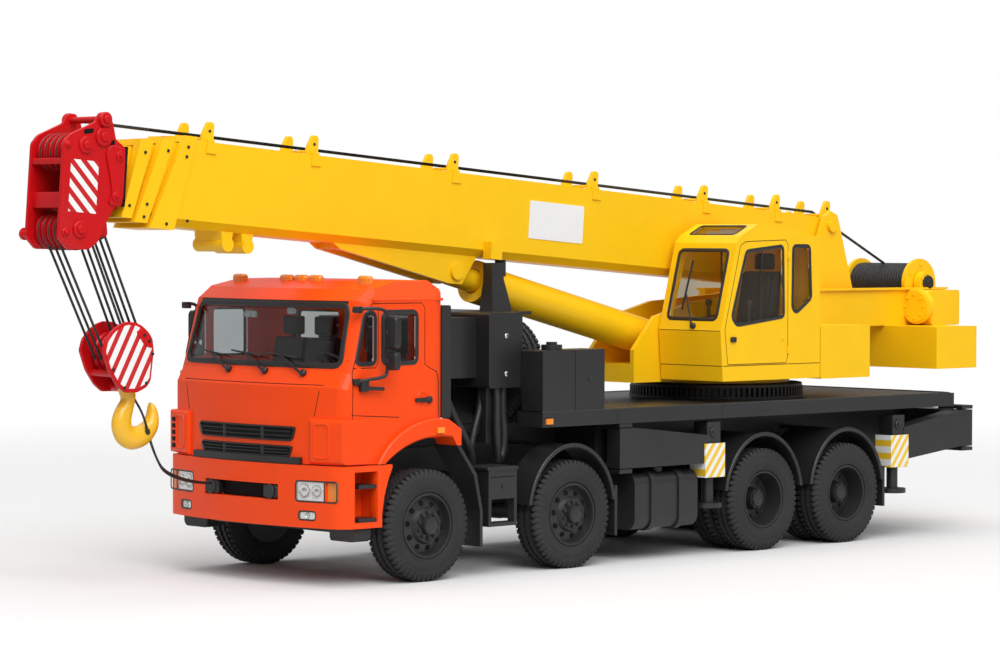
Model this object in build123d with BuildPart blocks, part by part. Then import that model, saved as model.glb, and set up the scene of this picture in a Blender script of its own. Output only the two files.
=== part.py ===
"""Scale model of an eight-wheel truck crane with a telescopic boom, at 1:43.

Millimetres. +X points forward, +Y to the vehicle's left and +Z up. The wheels stand on Z = 0.
Lengths along the vehicle are counted from the first axle, which stands at front_axle_x.
"""
import os
from math import cos, radians, sin

from build123d import *

# Wheels and axles
front_axle_x = 56.155
tyre_radius = 11.75
front_tyre_width = 7.0
rear_tyre_width = 6.6
twin_gap = 0.9
wheel_face_y = 29.2
front_bore = 7.0
rear_bore = 6.65
seat_gap = 0.05
pin_radius = 1.05
running_gap = 0.08
axle_2_x = -42.6
axle_3_x = -104.9
axle_4_x = -134.2
axle_tube_radius = 2.0
tube_end_gap = 0.9

# Chassis and deck
half_width = 29.07
rail_outer_y = 9.5
rail_thickness = 2.0
rail_low = 18.5
rail_high = 26.5
rail_front = 9.6
rail_tip = 18.0
rail_tip_high = 25.0
rail_rear = -178.0
subframe_front = -24.0
deck_front = -33.2
deck_rear = -174.1
deck_top = 34.15
deck_thickness = 3.2
deck_notch_rear = -43.4
deck_notch_y = 21.3

# Driver's cab
cab_setback = 1.07
cab_half_width = half_width - cab_setback
cab_wall = 1.0
cab_front = 26.0
cab_rear = -5.0
bow_ratio = 3.775
bow_axis = cab_front - bow_ratio * cab_half_width
bow_half_angle = 20.0
cab_low = 25.2
cab_floor = 31.0
arch_top = 30.0
cab_roof = 62.9
sill_height = 41.0
screen_low = 44.2
screen_low_x = 24.3
screen_high = 58.8
screen_high_x = 20.4
corner_radius = 3.2
roof_eave = 58.9
roof_lean = 2.2
glass_thickness = 0.5
glass_gap = 0.04
flare_overhang = 0.13
flare_y = half_width + flare_overhang

# Bumper
bumper_front = 27.2
bumper_rear = 13.0
bumper_low = 12.2
bumper_high = 25.0
bumper_wall = 1.7
bumper_overhang = 0.03
bumper_half_width = half_width + bumper_overhang
bumper_corner = 5.0

# Equipment behind the cab
box_front = -24.0
box_rear = -34.0
box_half_width = 22.0
box_low = 39.4
box_high = 55.6
shelf_rear = -44.5
shelf_thickness = 0.7
tool_box_rear = -52.5
tool_box_inner_y = 22.2
tool_box_outer_y = 28.8
tool_box_high = 47.5
spare_y = 9.6
spare_front = -35.5
rest_top = 66.2

# Outriggers
front_hinge_x = -59.5
rear_hinge_x = -180.0
hinge_y = 26.6
front_jack_x = -88.2
rear_jack_x = -153.6
arm_inner_y = 24.6
arm_outer_y = 28.6
jack_radius = 1.35
foot_low = 10.7
foot_radius = 3.3
hinge_pin = 0.9

# Slewing ring and turntable
slew_x = -120.0
gear_radius = 20.8
gear_high = 37.5
slew_gap = 0.2
table_low = 38.4
table_high = 42.6
cheek_inner_y = 6.1
cheek_outer_y = 7.3
foot_x = -153.2
foot_z = 74.8
foot_pin = 1.5
ram_base_x = -104.0
ram_base_z = 46.5
ram_pin = 1.2
beam_inner_y = 10.2
beam_outer_y = 12.2
beam_low = 50.3
beam_high = 59.6
beam_rear = -191.5
weight_front = -168.0
weight_rear = -183.4
weight_half_width = 28.8
weight_low = 40.1
drum_x = -184.4
drum_z = 60.6
drum_flange = 6.1
drum_core = 3.2
rope_layer = 5.0
drum_half_width = 9.9
drum_pin = 1.3

# Operator's cab
op_inner_y = 7.7
op_outer_y = 27.0
op_wall = 0.9
op_rear = -126.4
op_low = 39.1

# Boom, in its own frame: s runs forward from the foot pin, t square to it
boom_angle = 4.27
boom_top = 2.0
boom_height = 17.9
boom_width = 11.0
boom_wall = 0.6
boom_tail = -2.5
boom_end = 200.0
slide_gap = 0.25
head_inner_y = 5.9
head_outer_y = 7.25
head_front = 231.5
upper_sheave = (226.6, -3.0)
lower_sheave = (226.0, -18.6)
sheave_radius = 3.9

# Lift cylinder
eye_s = 121.07
eye_t = -19.67
ram_length = 75.1
ram_angle = 13.63
tube_radius = 4.2
rod_radius = 2.6
rod_shown = 9.1
gland_ring = 2.0
gland_length = ram_length - rod_shown
tube_length = gland_length - gland_ring
rod_inner_end = 5.0
ram_gap = 0.2

# Hook and falls
hang_angle = 27.5
fall_radius = 0.32
fall_gap = 0.15
block_centre = -29.2
block_inner_y = 3.1
block_outer_y = 4.2
hook_centre = -43.4
hook_outer = 5.6
hook_inner = 2.8

os.makedirs("parts", exist_ok=True)

side = Plane(origin=(front_axle_x, 0, 0), x_dir=(1, 0, 0), z_dir=(0, -1, 0))
boom_plane = Plane(
    origin=(front_axle_x + foot_x, 0, foot_z),
    x_dir=(cos(radians(boom_angle)), 0, sin(radians(boom_angle))),
    z_dir=(0, -1, 0),
)
bow_plane = Plane(
    origin=(front_axle_x + bow_axis, 0, 0),
    x_dir=(cos(radians(bow_half_angle)), -sin(radians(bow_half_angle)), 0),
    z_dir=(-sin(radians(bow_half_angle)), -cos(radians(bow_half_angle)), 0),
)
ram_plane = Plane(
    origin=(front_axle_x + ram_base_x, 0, ram_base_z),
    x_dir=(cos(radians(ram_angle)), 0, sin(radians(ram_angle))),
    z_dir=(0, -1, 0),
)
hang_origin = boom_plane.from_local_coords(Vector(lower_sheave[0], lower_sheave[1], 0))
hook_plane = Plane(
    origin=hang_origin,
    x_dir=(cos(radians(hang_angle)), 0, -sin(radians(hang_angle))),
    z_dir=(0, -1, 0),
)


def save(part, name):
    """Labels a finished piece and writes its STEP file."""
    part.label = name
    export_step(part, f"parts/{name}.step")


def rect(low_x, high_x, low_y, high_y):
    """The four corners of an upright rectangle in a plane's own coordinates."""
    return [(low_x, low_y), (high_x, low_y), (high_x, high_y), (low_x, high_y)]


def slab(plane, points, low, high, radius=0):
    """A straight-sided outline in a side plane, as thick as the stretch from y = low to y = high."""
    with BuildPart() as piece:
        with BuildSketch(plane.offset(-high)) as outline:
            with BuildLine():
                Polyline(*points, close=True)
            make_face()
            if radius:
                fillet(outline.vertices(), radius)
        extrude(amount=high - low)
    return piece.part


def block(x_range, y_range, z_range):
    """An upright box between three pairs of limits, with X counted from the first axle."""
    return slab(side, rect(*x_range, *z_range), *y_range)


def disc(plane, centre, radius, low, high):
    """A round bar square to a side plane, from y = low to y = high."""
    with BuildPart() as piece:
        with BuildSketch(plane.offset(-high)):
            with Locations(centre):
                Circle(radius)
        extrude(amount=high - low)
    return piece.part


def bar(start, end, radius):
    """A round bar between two points."""
    axis = Vector(*end) - Vector(*start)
    with BuildPart() as piece:
        with BuildSketch(Plane(origin=start, z_dir=axis)):
            Circle(radius)
        extrude(amount=axis.length)
    return piece.part


def post(x, y, radius, low, high):
    """An upright round bar, with X counted from the first axle."""
    return bar((front_axle_x + x, y, low), (front_axle_x + x, y, high), radius)


def turned(x, z, profile):
    """A solid of revolution about a cross axle at (x, z), from points of (y, radius)."""
    centre = Vector(front_axle_x + x, 0, z)
    with BuildPart() as piece:
        with BuildSketch(Plane(origin=centre, x_dir=(0, 1, 0), z_dir=(1, 0, 0))):
            with BuildLine():
                Polyline(*profile, close=True)
            make_face()
        revolve(axis=Axis(centre, (0, 1, 0)))
    return piece.part


def both_sides(part):
    """A piece and its mirror image across the vehicle's centre plane."""
    with BuildPart() as pair:
        add(part)
        mirror(about=Plane.XZ)
    return pair.part


def bowed(inner, outer, y_range, z_range):
    """A bar that follows the bow of the front, between two distances from the bow's axis."""
    with BuildPart() as piece:
        add(post(bow_axis, 0, outer, *z_range))
        add(post(bow_axis, 0, inner, *z_range), mode=Mode.SUBTRACT)
        add(block((0, bumper_front + 5), y_range, z_range), mode=Mode.INTERSECT)
    return piece.part


# Tyres and wheels: each axle turns as one body
def tyre(x, bore, inner, outer):
    """One tyre with flat tread, rounded shoulders and a bulging wall, between two faces."""
    shoulder = 0.9
    wall = 1.5
    bead = 0.6
    return turned(x, tyre_radius, [
        (inner + bead, bore), (inner, bore + wall), (inner, tyre_radius - wall),
        (inner + 0.3 * shoulder, tyre_radius - 0.4 * wall), (inner + shoulder, tyre_radius),
        (outer - shoulder, tyre_radius), (outer - 0.3 * shoulder, tyre_radius - 0.4 * wall),
        (outer, tyre_radius - wall), (outer, bore + wall), (outer - bead, bore),
    ])


front_wheel_inner = wheel_face_y - front_tyre_width
twin_outer_inner = wheel_face_y - rear_tyre_width
twin_inner_outer = twin_outer_inner - twin_gap
rear_wheel_inner = twin_inner_outer - rear_tyre_width

for number, axle_x in enumerate((0.0, axle_2_x), start=1):
    rim = front_bore - seat_gap
    face = wheel_face_y
    with BuildPart() as tyres:
        add(both_sides(tyre(axle_x, front_bore, front_wheel_inner, wheel_face_y)))
    save(tyres.part, f"axle_{number}_tyres")
    with BuildPart() as wheels:
        add(both_sides(turned(axle_x, tyre_radius, [
            (0, 0), (0, pin_radius), (front_wheel_inner + 0.4, pin_radius), (front_wheel_inner + 0.4, rim),
            (face - 0.6, rim), (face - 0.6, rim - 0.7), (face - 1.8, rim - 1.1), (face - 1.3, 3.9),
            (face - 0.4, 3.3), (face - 0.4, 2.0), (face + 0.6, 1.8), (face + 0.6, 0),
        ])))
    save(wheels.part, f"axle_{number}_wheels")

for number, axle_x in enumerate((axle_3_x, axle_4_x), start=3):
    rim = rear_bore - seat_gap
    face = wheel_face_y
    with BuildPart() as tyres:
        add(both_sides(tyre(axle_x, rear_bore, twin_outer_inner, wheel_face_y)))
        add(both_sides(tyre(axle_x, rear_bore, rear_wheel_inner, twin_inner_outer)))
    save(tyres.part, f"axle_{number}_tyres")
    with BuildPart() as wheels:
        add(both_sides(turned(axle_x, tyre_radius, [
            (0, 0), (0, pin_radius), (rear_wheel_inner + 0.4, pin_radius), (rear_wheel_inner + 0.4, rim),
            (face - 0.6, rim), (face - 0.6, rim - 0.6), (face - 4.4, rim - 1.3), (face - 4.4, 2.7),
            (face - 2.4, 2.2), (face - 2.4, 0),
        ])))
    save(wheels.part, f"axle_{number}_wheels")

# Chassis frame: two rails, cross members, the subframe and the outrigger boxes
deck_low = deck_top - deck_thickness
rail_inner_y = rail_outer_y - rail_thickness
cross_members = (-9.0, -20.0, -54.0, -96.0, -119.5, -145.0, -173.0)
cross_member_length = 4.0
display_screws = (-20.0, -145.0)
screw_hole = 1.25
screw_depth = 6.0
hinge_box_length = 6.0
hinge_box_y = 22.0
lug_thickness = 0.9
lug_radius = 2.0
front_arm_low = 20.9
front_arm_high = 29.8
rear_arm_low = 18.6
arm_gap = 0.2

with BuildPart() as chassis_frame:
    add(both_sides(block((rail_rear, rail_front), (rail_inner_y, rail_outer_y), (rail_low, rail_high))))
    add(both_sides(block((rail_front, rail_tip), (rail_inner_y, rail_outer_y), (rail_low, rail_tip_high))))
    for x in (-3.0, 0.9):
        add(both_sides(block((x - 1.5, x + 1.5), (rail_inner_y, rail_outer_y), (rail_high, arch_top))))
    for x in cross_members:
        add(block(
            (x - cross_member_length / 2, x + cross_member_length / 2),
            (-rail_inner_y, rail_inner_y),
            (rail_low + 1.0, rail_high - 0.5),
        ))
    add(both_sides(block((rail_rear, subframe_front), (rail_inner_y, rail_outer_y), (rail_high, deck_low))))
    for x in (front_hinge_x, rear_hinge_x):
        add(block(
            (x - hinge_box_length / 2, x + hinge_box_length / 2),
            (-hinge_box_y, hinge_box_y),
            (front_arm_low, front_arm_high),
        ))
        for low in (front_arm_low - arm_gap - lug_thickness, front_arm_high + arm_gap):
            add(both_sides(block(
                (x - lug_radius, x + lug_radius),
                (hinge_box_y - 1.0, hinge_y + lug_radius),
                (low, low + lug_thickness),
            )))
        add(both_sides(block(
            (x - lug_radius, x + lug_radius),
            (hinge_box_y - 1.0, hinge_box_y),
            (front_arm_low - arm_gap - lug_thickness, front_arm_high + arm_gap + lug_thickness),
        )))
        add(both_sides(post(x, hinge_y, hinge_pin, front_arm_low - arm_gap, front_arm_high + arm_gap)))
    for x in display_screws:
        add(post(x, 0, screw_hole, rail_low, rail_low + screw_depth), mode=Mode.SUBTRACT)
save(chassis_frame.part, "chassis_frame")

# Axle tubes with their springs
spring_y = (rail_inner_y, rail_outer_y)
spring_half = 11.0
spring_seat = tyre_radius + 1.6
with BuildPart() as axle_housings:
    for x, inner in ((0.0, front_wheel_inner), (axle_2_x, front_wheel_inner),
                     (axle_3_x, rear_wheel_inner), (axle_4_x, rear_wheel_inner)):
        end = inner - tube_end_gap
        add(disc(side, (x, tyre_radius), axle_tube_radius, -end, end))
    for x in (axle_3_x, axle_4_x):
        add(disc(side, (x, tyre_radius), 4.6, -3.4, 3.4))
    for x in (0.0, axle_2_x):
        add(both_sides(slab(side, [
            (x - spring_half, rail_low), (x - spring_half + 2, rail_low), (x - 5, spring_seat + 1.8),
            (x + 5, spring_seat + 1.8), (x + spring_half - 2, rail_low), (x + spring_half, rail_low),
            (x + 5.5, spring_seat), (x - 5.5, spring_seat),
        ], *spring_y)))
    bogie_x = (axle_3_x + axle_4_x) / 2
    add(both_sides(slab(side, [
        (axle_4_x - 3, spring_seat), (axle_4_x + 3, spring_seat), (bogie_x - 4, rail_low - 2.6),
        (bogie_x + 4, rail_low - 2.6), (axle_3_x - 3, spring_seat), (axle_3_x + 3, spring_seat),
        (bogie_x + 5, rail_low), (bogie_x - 5, rail_low),
    ], *spring_y)))
    for x in (0.0, axle_2_x, axle_3_x, axle_4_x):
        add(disc(side, (x, tyre_radius), pin_radius + running_gap, -half_width, half_width), mode=Mode.SUBTRACT)
save(axle_housings.part, "axle_housings")

# Deck with a notch where the spare wheel stands
with BuildPart() as deck:
    add(block((deck_rear, deck_front), (-half_width, half_width), (deck_low, deck_top)))
    add(block(
        (deck_notch_rear, deck_front + 1), (-deck_notch_y, deck_notch_y), (deck_low - 1, deck_top + 1),
    ), mode=Mode.SUBTRACT)
save(deck.part, "deck")

# Driver's cab: one outline seen from the side, hollowed, with its windows cut
cab_outline = [
    (cab_front, cab_low), (cab_front, sill_height), (screen_low_x, screen_low),
    (screen_high_x, screen_high), (screen_high_x - 3.0, cab_roof - 1.8), (screen_high_x - 10.0, cab_roof - 0.2),
    (cab_rear + 2.5, cab_roof), (cab_rear, cab_roof), (cab_rear, cab_low),
]
roof_edge = [(cab_rear - 1, cab_roof + 1), (cab_rear + 2.5, cab_roof + 1), (cab_rear + 2.5, cab_roof),
             (cab_rear - 1, cab_roof - 2.7)]
arch_cut = [
    (cab_rear - 8, cab_low - 4), (cab_rear - 8, arch_top), (2.5, arch_top), (7.8, arch_top - 1.8),
    (13.2, cab_low - 1.0), (13.2, cab_low - 4),
]
flare_outer = [(14.0, 25.2), (9.4, 30.2), (2.6, 33.4), (-5.6, 33.8)]
flare_inner = [(-6.8, 30.0), (1.4, 29.9), (7.4, 28.0), (11.9, 25.2)]
flare_tail = [(-9.2, 31.6), (-9.2, 28.2), (-8.0, 28.2)]
screen_opening = [(-25.0, 45.4), (25.0, 45.4), (24.0, 57.8), (-24.0, 57.8)]
quarter_window = [(19.0, 45.8), (14.0, 45.8), (14.0, 56.4), (16.4, 56.4)]
door_window = [(11.9, 45.8), (2.4, 45.8), (2.4, 56.4), (11.9, 56.4)]
rear_window = [(-18.0, 47.0), (-4.0, 47.0), (-4.0, 56.0), (-18.0, 56.0)]
window_corner = 1.2


def cross_panel(x, points, length, shrink=0.0, radius=window_corner):
    """An outline seen from the front, as points of (y, z), carried back from x by a length."""
    with BuildPart() as piece:
        with BuildSketch(Plane(origin=(front_axle_x + x, 0, 0), x_dir=(0, 1, 0), z_dir=(1, 0, 0))) as outline:
            with BuildLine():
                Polyline(*points, close=True)
            make_face()
            if radius:
                fillet(outline.vertices(), radius)
            if shrink:
                offset(amount=-shrink, mode=Mode.REPLACE)
        extrude(amount=-length)
    return piece.part


def cab_form(inset, floored=True):
    """The cab's closed form with its bowed front, drawn in by a wall thickness and cut off at the floor."""
    reach = cab_half_width - inset
    with BuildPart() as form:
        with BuildSketch(bow_plane):
            with BuildLine():
                Polyline(*[(x - bow_axis, z) for x, z in cab_outline], close=True)
            make_face()
            if inset:
                offset(amount=-inset, kind=Kind.INTERSECTION, mode=Mode.REPLACE)
        revolve(axis=Axis((front_axle_x + bow_axis, 0, 0), (0, 0, 1)), revolution_arc=2 * bow_half_angle)
        add(block((cab_rear + inset, cab_front + 1), (-reach, reach), (cab_low - 1, cab_roof + 1)),
            mode=Mode.INTERSECT)
        corners = [
            edge for edge in form.edges()
            if abs(abs(edge.center().Y) - reach) < 0.01 and edge.center().X > front_axle_x + 10
            and edge.length > 1.0 and edge.center().Z > cab_low + 2
        ]
        fillet(corners, corner_radius - inset)
        for mirrored in (1, -1):
            eave = [(y * mirrored, z - 0.8 * inset) for y, z in (
                (cab_half_width + 2, roof_eave), (cab_half_width - 0.6 * inset, roof_eave),
                (cab_half_width - roof_lean - 0.6 * inset, cab_roof - 0.4),
                (cab_half_width - 2 * roof_lean - 0.6 * inset, cab_roof + 2), (cab_half_width + 2, cab_roof + 2),
            )]
            add(cross_panel(cab_front + 1, eave, cab_front - cab_rear + 2, radius=0), mode=Mode.SUBTRACT)
        if inset == 0:
            add(slab(side, roof_edge, -reach, reach), mode=Mode.SUBTRACT)
        if inset and floored:
            add(block((cab_rear, cab_front), (-cab_half_width, cab_half_width), (cab_low - 1, cab_floor)),
                mode=Mode.SUBTRACT)
    return form.part


with BuildPart() as flare:
    with BuildSketch(side.offset(-flare_y)):
        with BuildLine():
            Spline(*flare_outer)
            Polyline(flare_outer[-1], *flare_tail, flare_inner[0])
            Spline(*flare_inner)
            Line(flare_inner[-1], flare_outer[0])
        make_face()
    extrude(amount=5.0 + flare_y - cab_half_width)
    chamfer(flare.faces().sort_by(Axis.Y)[-1].edges().filter_by(GeomType.BSPLINE), 0.3)

# Corner pods: raised boxes at the lower corners of the cab's front
pod_y = (19.6, 28.5)
pod_z = (25.4, 34.6)
pod_proud = 0.9
with BuildPart() as pod_form:
    add(bowed(cab_front - bow_axis - 6.0, cab_front - bow_axis + pod_proud, pod_y, pod_z))
    fillet(pod_form.faces().sort_by(Axis.X)[-1].edges(), 0.8)
pod = pod_form.part

with BuildPart() as cab_shell:
    add(cab_form(0))
    add(both_sides(pod))
    add(slab(side, arch_cut, -cab_half_width - 1, cab_half_width + 1), mode=Mode.SUBTRACT)
    add(cab_form(cab_wall), mode=Mode.SUBTRACT)
    add(cross_panel(cab_front + 1, screen_opening, 14), mode=Mode.SUBTRACT)
    for window in (quarter_window, door_window):
        add(slab(side, window, -cab_half_width - 1, cab_half_width + 1, window_corner), mode=Mode.SUBTRACT)
    for mirrored in (1, -1):
        pane = [(y * mirrored, z) for y, z in rear_window]
        add(cross_panel(cab_rear + 3, pane, 5), mode=Mode.SUBTRACT)
    add(both_sides(flare.part))
save(cab_shell.part, "cab_shell")

# Cab glass: panes set in the openings, inside the wall's thickness
glass_inset = 0.25


def flat_pane(window, y, radius, thickness=glass_thickness):
    """A flat pane that fills a side window with a small gap, its outer face at y."""
    with BuildPart() as piece:
        with BuildSketch(side.offset(-y)) as outline:
            with BuildLine():
                Polyline(*window, close=True)
            make_face()
            fillet(outline.vertices(), radius)
            offset(amount=-glass_gap, mode=Mode.REPLACE)
        extrude(amount=thickness)
    return piece.part


with BuildPart() as screen:
    add(cab_form(glass_inset, False))
    add(cab_form(glass_inset + glass_thickness, False), mode=Mode.SUBTRACT)
    add(cross_panel(cab_front + 1, screen_opening, 14, glass_gap), mode=Mode.INTERSECT)
with BuildPart() as cab_glass:
    add(screen.part)
    for window in (quarter_window, door_window):
        add(both_sides(flat_pane(window, cab_half_width - 0.45, window_corner, 0.4)))
    for mirrored in (1, -1):
        pane_points = [(y * mirrored, z) for y, z in rear_window]
        add(cross_panel(cab_rear + 0.8, pane_points, glass_thickness, glass_gap))
save(cab_glass.part, "cab_glass")

# Cab interior: dashboard, three seats, steering wheel and column
inner_y = cab_half_width - cab_wall - 0.2
with BuildPart() as cab_interior:
    add(slab(side, [
        (19.6, cab_floor), (19.6, 42.2), (17.8, 43.6), (14.8, 42.6), (14.2, 39.0), (16.6, cab_floor),
    ], -inner_y + 2.2, inner_y - 2.2))
    for y in (14.0, -6.0, -16.5):
        seat_half = 4.6
        add(slab(side, [
            (8.5, cab_floor), (9.5, 38.0), (1.4, 37.4), (-0.6, 50.0), (-2.8, 50.0), (-1.6, cab_floor),
        ], y - seat_half, y + seat_half, 0.7))
        add(slab(side, rect(-3.0, -0.9, 50.6, 54.6), y - 2.4, y + 2.4, 0.6))
        add(slab(side, rect(-2.2, -1.6, 49.0, 51.0), y - 0.5, y + 0.5))
    wheel_centre = Vector(front_axle_x + 12.2, 14.0, 44.6)
    wheel_plane = Plane(origin=wheel_centre, z_dir=(-0.62, 0, 0.78))
    with BuildSketch(wheel_plane):
        Circle(4.6)
        Circle(3.9, mode=Mode.SUBTRACT)
        Rectangle(8.2, 0.9)
        Circle(1.1)
    extrude(amount=0.6)
    add(bar(wheel_centre, (front_axle_x + 16.4, 14.0, 40.2), 0.6))
save(cab_interior.part, "cab_interior")

# Bumper: a wrapped wall with a tow slot, lamp pockets and side step openings
slot_y = (-11.9, 11.9)
slot_z = (17.6, 20.8)
lamp_y = (16.8, 24.0)
amber_y = (24.3, 27.2)
lamp_z = (17.6, 21.8)
fog_y = (17.6, 22.0)
fog_z = (13.8, 15.6)
step_x = (14.2, 20.4)
step_z = (13.4, 23.8)
tread_levels = (13.4, 20.3)
bumper_bow = bumper_front - bow_axis


def bumper_plan(inset, rear):
    """The bumper's outline seen from above, drawn in from its front and sides."""
    with BuildSketch(Plane.XY.offset(bumper_low)) as plan:
        with Locations((front_axle_x + bow_axis, 0)):
            Circle(bumper_bow - inset)
        with Locations((front_axle_x + rear + 20, 0)):
            Rectangle(40, 2 * (bumper_half_width - inset), mode=Mode.INTERSECT)
        fillet(plan.vertices().group_by(Axis.X)[-1], bumper_corner - inset)
    return plan.sketch


with BuildPart() as bumper:
    extrude(bumper_plan(0, bumper_rear), amount=bumper_high - bumper_low)
    extrude(bumper_plan(bumper_wall, bumper_rear - 3), amount=bumper_high - bumper_low, mode=Mode.SUBTRACT)
    through = (bumper_front - 8, bumper_front + 1)
    add(block(through, slot_y, slot_z), mode=Mode.SUBTRACT)
    for mirrored in (1, -1):
        for span, height in ((lamp_y, lamp_z), (amber_y, lamp_z), (fog_y, fog_z)):
            low, high = sorted((span[0] * mirrored, span[1] * mirrored))
            add(block(through, (low, high), height), mode=Mode.SUBTRACT)
    add(both_sides(block(step_x, (bumper_half_width - 4, bumper_half_width + 1), step_z)), mode=Mode.SUBTRACT)
    add(both_sides(block((bumper_rear + 1, bumper_front - 2), (rail_inner_y - 1, rail_outer_y + 1),
                         (rail_low - 2.5, rail_low))))
    add(both_sides(block((step_x[0] - 0.6, 19.6), (bumper_half_width - 5.8, bumper_half_width - 5.2),
                         (bumper_low + 0.3, bumper_high))))
    add(both_sides(block((step_x[0] - 0.6, 19.6), (bumper_half_width - 5.6, bumper_half_width - 1.0),
                         (bumper_high - 0.7, bumper_high))))
    add(both_sides(block((step_x[0] - 0.6, step_x[0]), (bumper_half_width - 5.8, bumper_half_width - 1.0),
                         (bumper_low + 0.3, bumper_high))))
    add(bowed(bumper_bow - bumper_wall - 0.6, bumper_bow - bumper_wall + 0.2, (-14.0, 14.0),
              (rail_low - 2.5, slot_z[0] - 0.2)))
    for y in (slot_y[0] + 3, slot_y[1] - 3):
        add(post(bumper_front - 1.4, y, 0.55, slot_z[0] - 0.3, slot_z[1] + 0.3))
save(bumper.part, "bumper")

# Lamps
with BuildPart() as lamps_clear:
    for span, height in ((lamp_y, lamp_z), (fog_y, fog_z)):
        add(both_sides(bowed(
            bumper_bow - 1.5, bumper_bow - 0.2, (span[0] + glass_gap, span[1] - glass_gap),
            (height[0] + glass_gap, height[1] - glass_gap),
        )))
save(lamps_clear.part, "lamps_clear")

roof_lamp_places = ((10.0, -20.4), (10.0, -4.7), (10.0, 0.0), (10.0, 4.7), (10.0, 20.4))
roof_lamp_seat = cab_roof - 1.4


def roof_lamp(x, y):
    """A low oval lamp on the cab's roof, before its foot is cut to the roof's form."""
    with BuildPart() as dome:
        with BuildSketch(Plane(origin=(front_axle_x + x, y, roof_lamp_seat))):
            Ellipse(1.3, 2.0)
        extrude(amount=2.3)
        fillet(dome.edges().group_by(Axis.Z)[-1], 0.7)
    return dome.part


with BuildPart() as lamps_amber:
    for x, y in roof_lamp_places:
        add(roof_lamp(x, y))
    add(cab_form(0), mode=Mode.SUBTRACT)
    add(both_sides(block((-4.0, -2.0), (flare_y, flare_y + 0.5), (31.0, 32.2))))
    add(both_sides(bowed(
        bumper_bow - 2.2, bumper_bow - 0.6, (amber_y[0] + glass_gap, amber_y[1] - glass_gap),
        (lamp_z[0] + glass_gap, lamp_z[1] - glass_gap),
    )))
    add(both_sides(block((-36.0, -34.0), (half_width, half_width + 0.5), (31.6, 32.8))))
save(lamps_amber.part, "lamps_amber")

rear_face = rear_hinge_x - hinge_box_length / 2
with BuildPart() as lamps_red:
    add(both_sides(block((rear_face - 1.0, rear_face), (14.0, 21.0), (22.0, 25.4))))
save(lamps_red.part, "lamps_red")

# Grille inserts and corner vents, seated on the cab's front
cab_bow = cab_front - bow_axis
with BuildPart() as grille:
    for low, high, width in ((29.9, 32.6, 15.6), (26.6, 28.6, 14.8)):
        add(bowed(cab_bow, cab_bow + 0.5, (-width, width), (low, high)))
    add(bowed(cab_bow, cab_bow + 0.7, (-17.4, 17.4), (25.2, 25.9)))
    vent_low = 27.2
    vent_high = 33.2
    pod_face = cab_bow + pod_proud
    for row in range(4):
        low = vent_low + row * (vent_high - vent_low) / 4
        add(both_sides(bowed(pod_face, pod_face + 0.3, (21.2, 23.6), (low, low + 0.9))))
save(grille.part, "grille")

# Mirrors: two heads on a bent tube on each side
arm_y = 30.4
head_y = (30.2, 34.0)
head_x = (13.6, 15.6)


def bead(point, radius):
    """A small ball that closes the corner where two bars meet."""
    with BuildPart() as piece:
        with Locations(point):
            Sphere(radius)
    return piece.part


with BuildPart() as mirrors:
    hanger = [
        (front_axle_x + 15.4, cab_half_width - 1.0, 57.4), (front_axle_x + 18.8, arm_y, 57.6),
        (front_axle_x + 20.6, arm_y, 41.8), (front_axle_x + 20.0, cab_half_width - 3.0, 41.6),
    ]
    for start, end in zip(hanger, hanger[1:]):
        add(both_sides(bar(start, end, 0.4)))
    for point in hanger[1:3]:
        add(both_sides(bead(point, 0.4)))
    for low, high, height in ((48.4, 57.0, 52.6), (43.4, 47.4, 45.4)):
        add(both_sides(slab(side, rect(*head_x, low, high), *head_y, 0.6)))
        lean = hanger[1][0] + (57.6 - height) / 15.8 * 1.8
        add(both_sides(bar((lean, arm_y, height), (front_axle_x + head_x[1] - 0.6, arm_y + 0.8, height), 0.4)))
    add(cab_form(0), mode=Mode.SUBTRACT)
save(mirrors.part, "mirrors")

# Step treads inside the bumper's side openings
tread_y = (bumper_half_width - 5.1, bumper_half_width - 0.2)
tread_x = (step_x[0] + 0.2, 19.2)
with BuildPart() as cab_steps:
    for low in tread_levels:
        add(both_sides(block(tread_x, tread_y, (low + 0.02, low + 0.8))))
save(cab_steps.part, "cab_steps")

# Mudguards: half-round arches, taller than they are long, with flaps
arch_half = 13.2
arch_height = 15.2
arch_sheet = 0.65
arch_foot = 14.4
front_guard_inner = 21.4
rear_guard_inner = 14.0
guard_outer = 29.0


def arch(x, inner):
    """A mudguard over the wheel at x, from an inner face out to the vehicle's side."""
    with BuildPart() as guard:
        with BuildSketch(side.offset(-guard_outer)):
            with Locations((x, tyre_radius)):
                Ellipse(arch_half, arch_height)
                Ellipse(arch_half - arch_sheet, arch_height - arch_sheet, mode=Mode.SUBTRACT)
            with Locations((x, arch_foot - arch_height)):
                Rectangle(4 * arch_half, 2 * arch_height, mode=Mode.SUBTRACT)
        extrude(amount=guard_outer - inner)
    return guard.part


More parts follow.
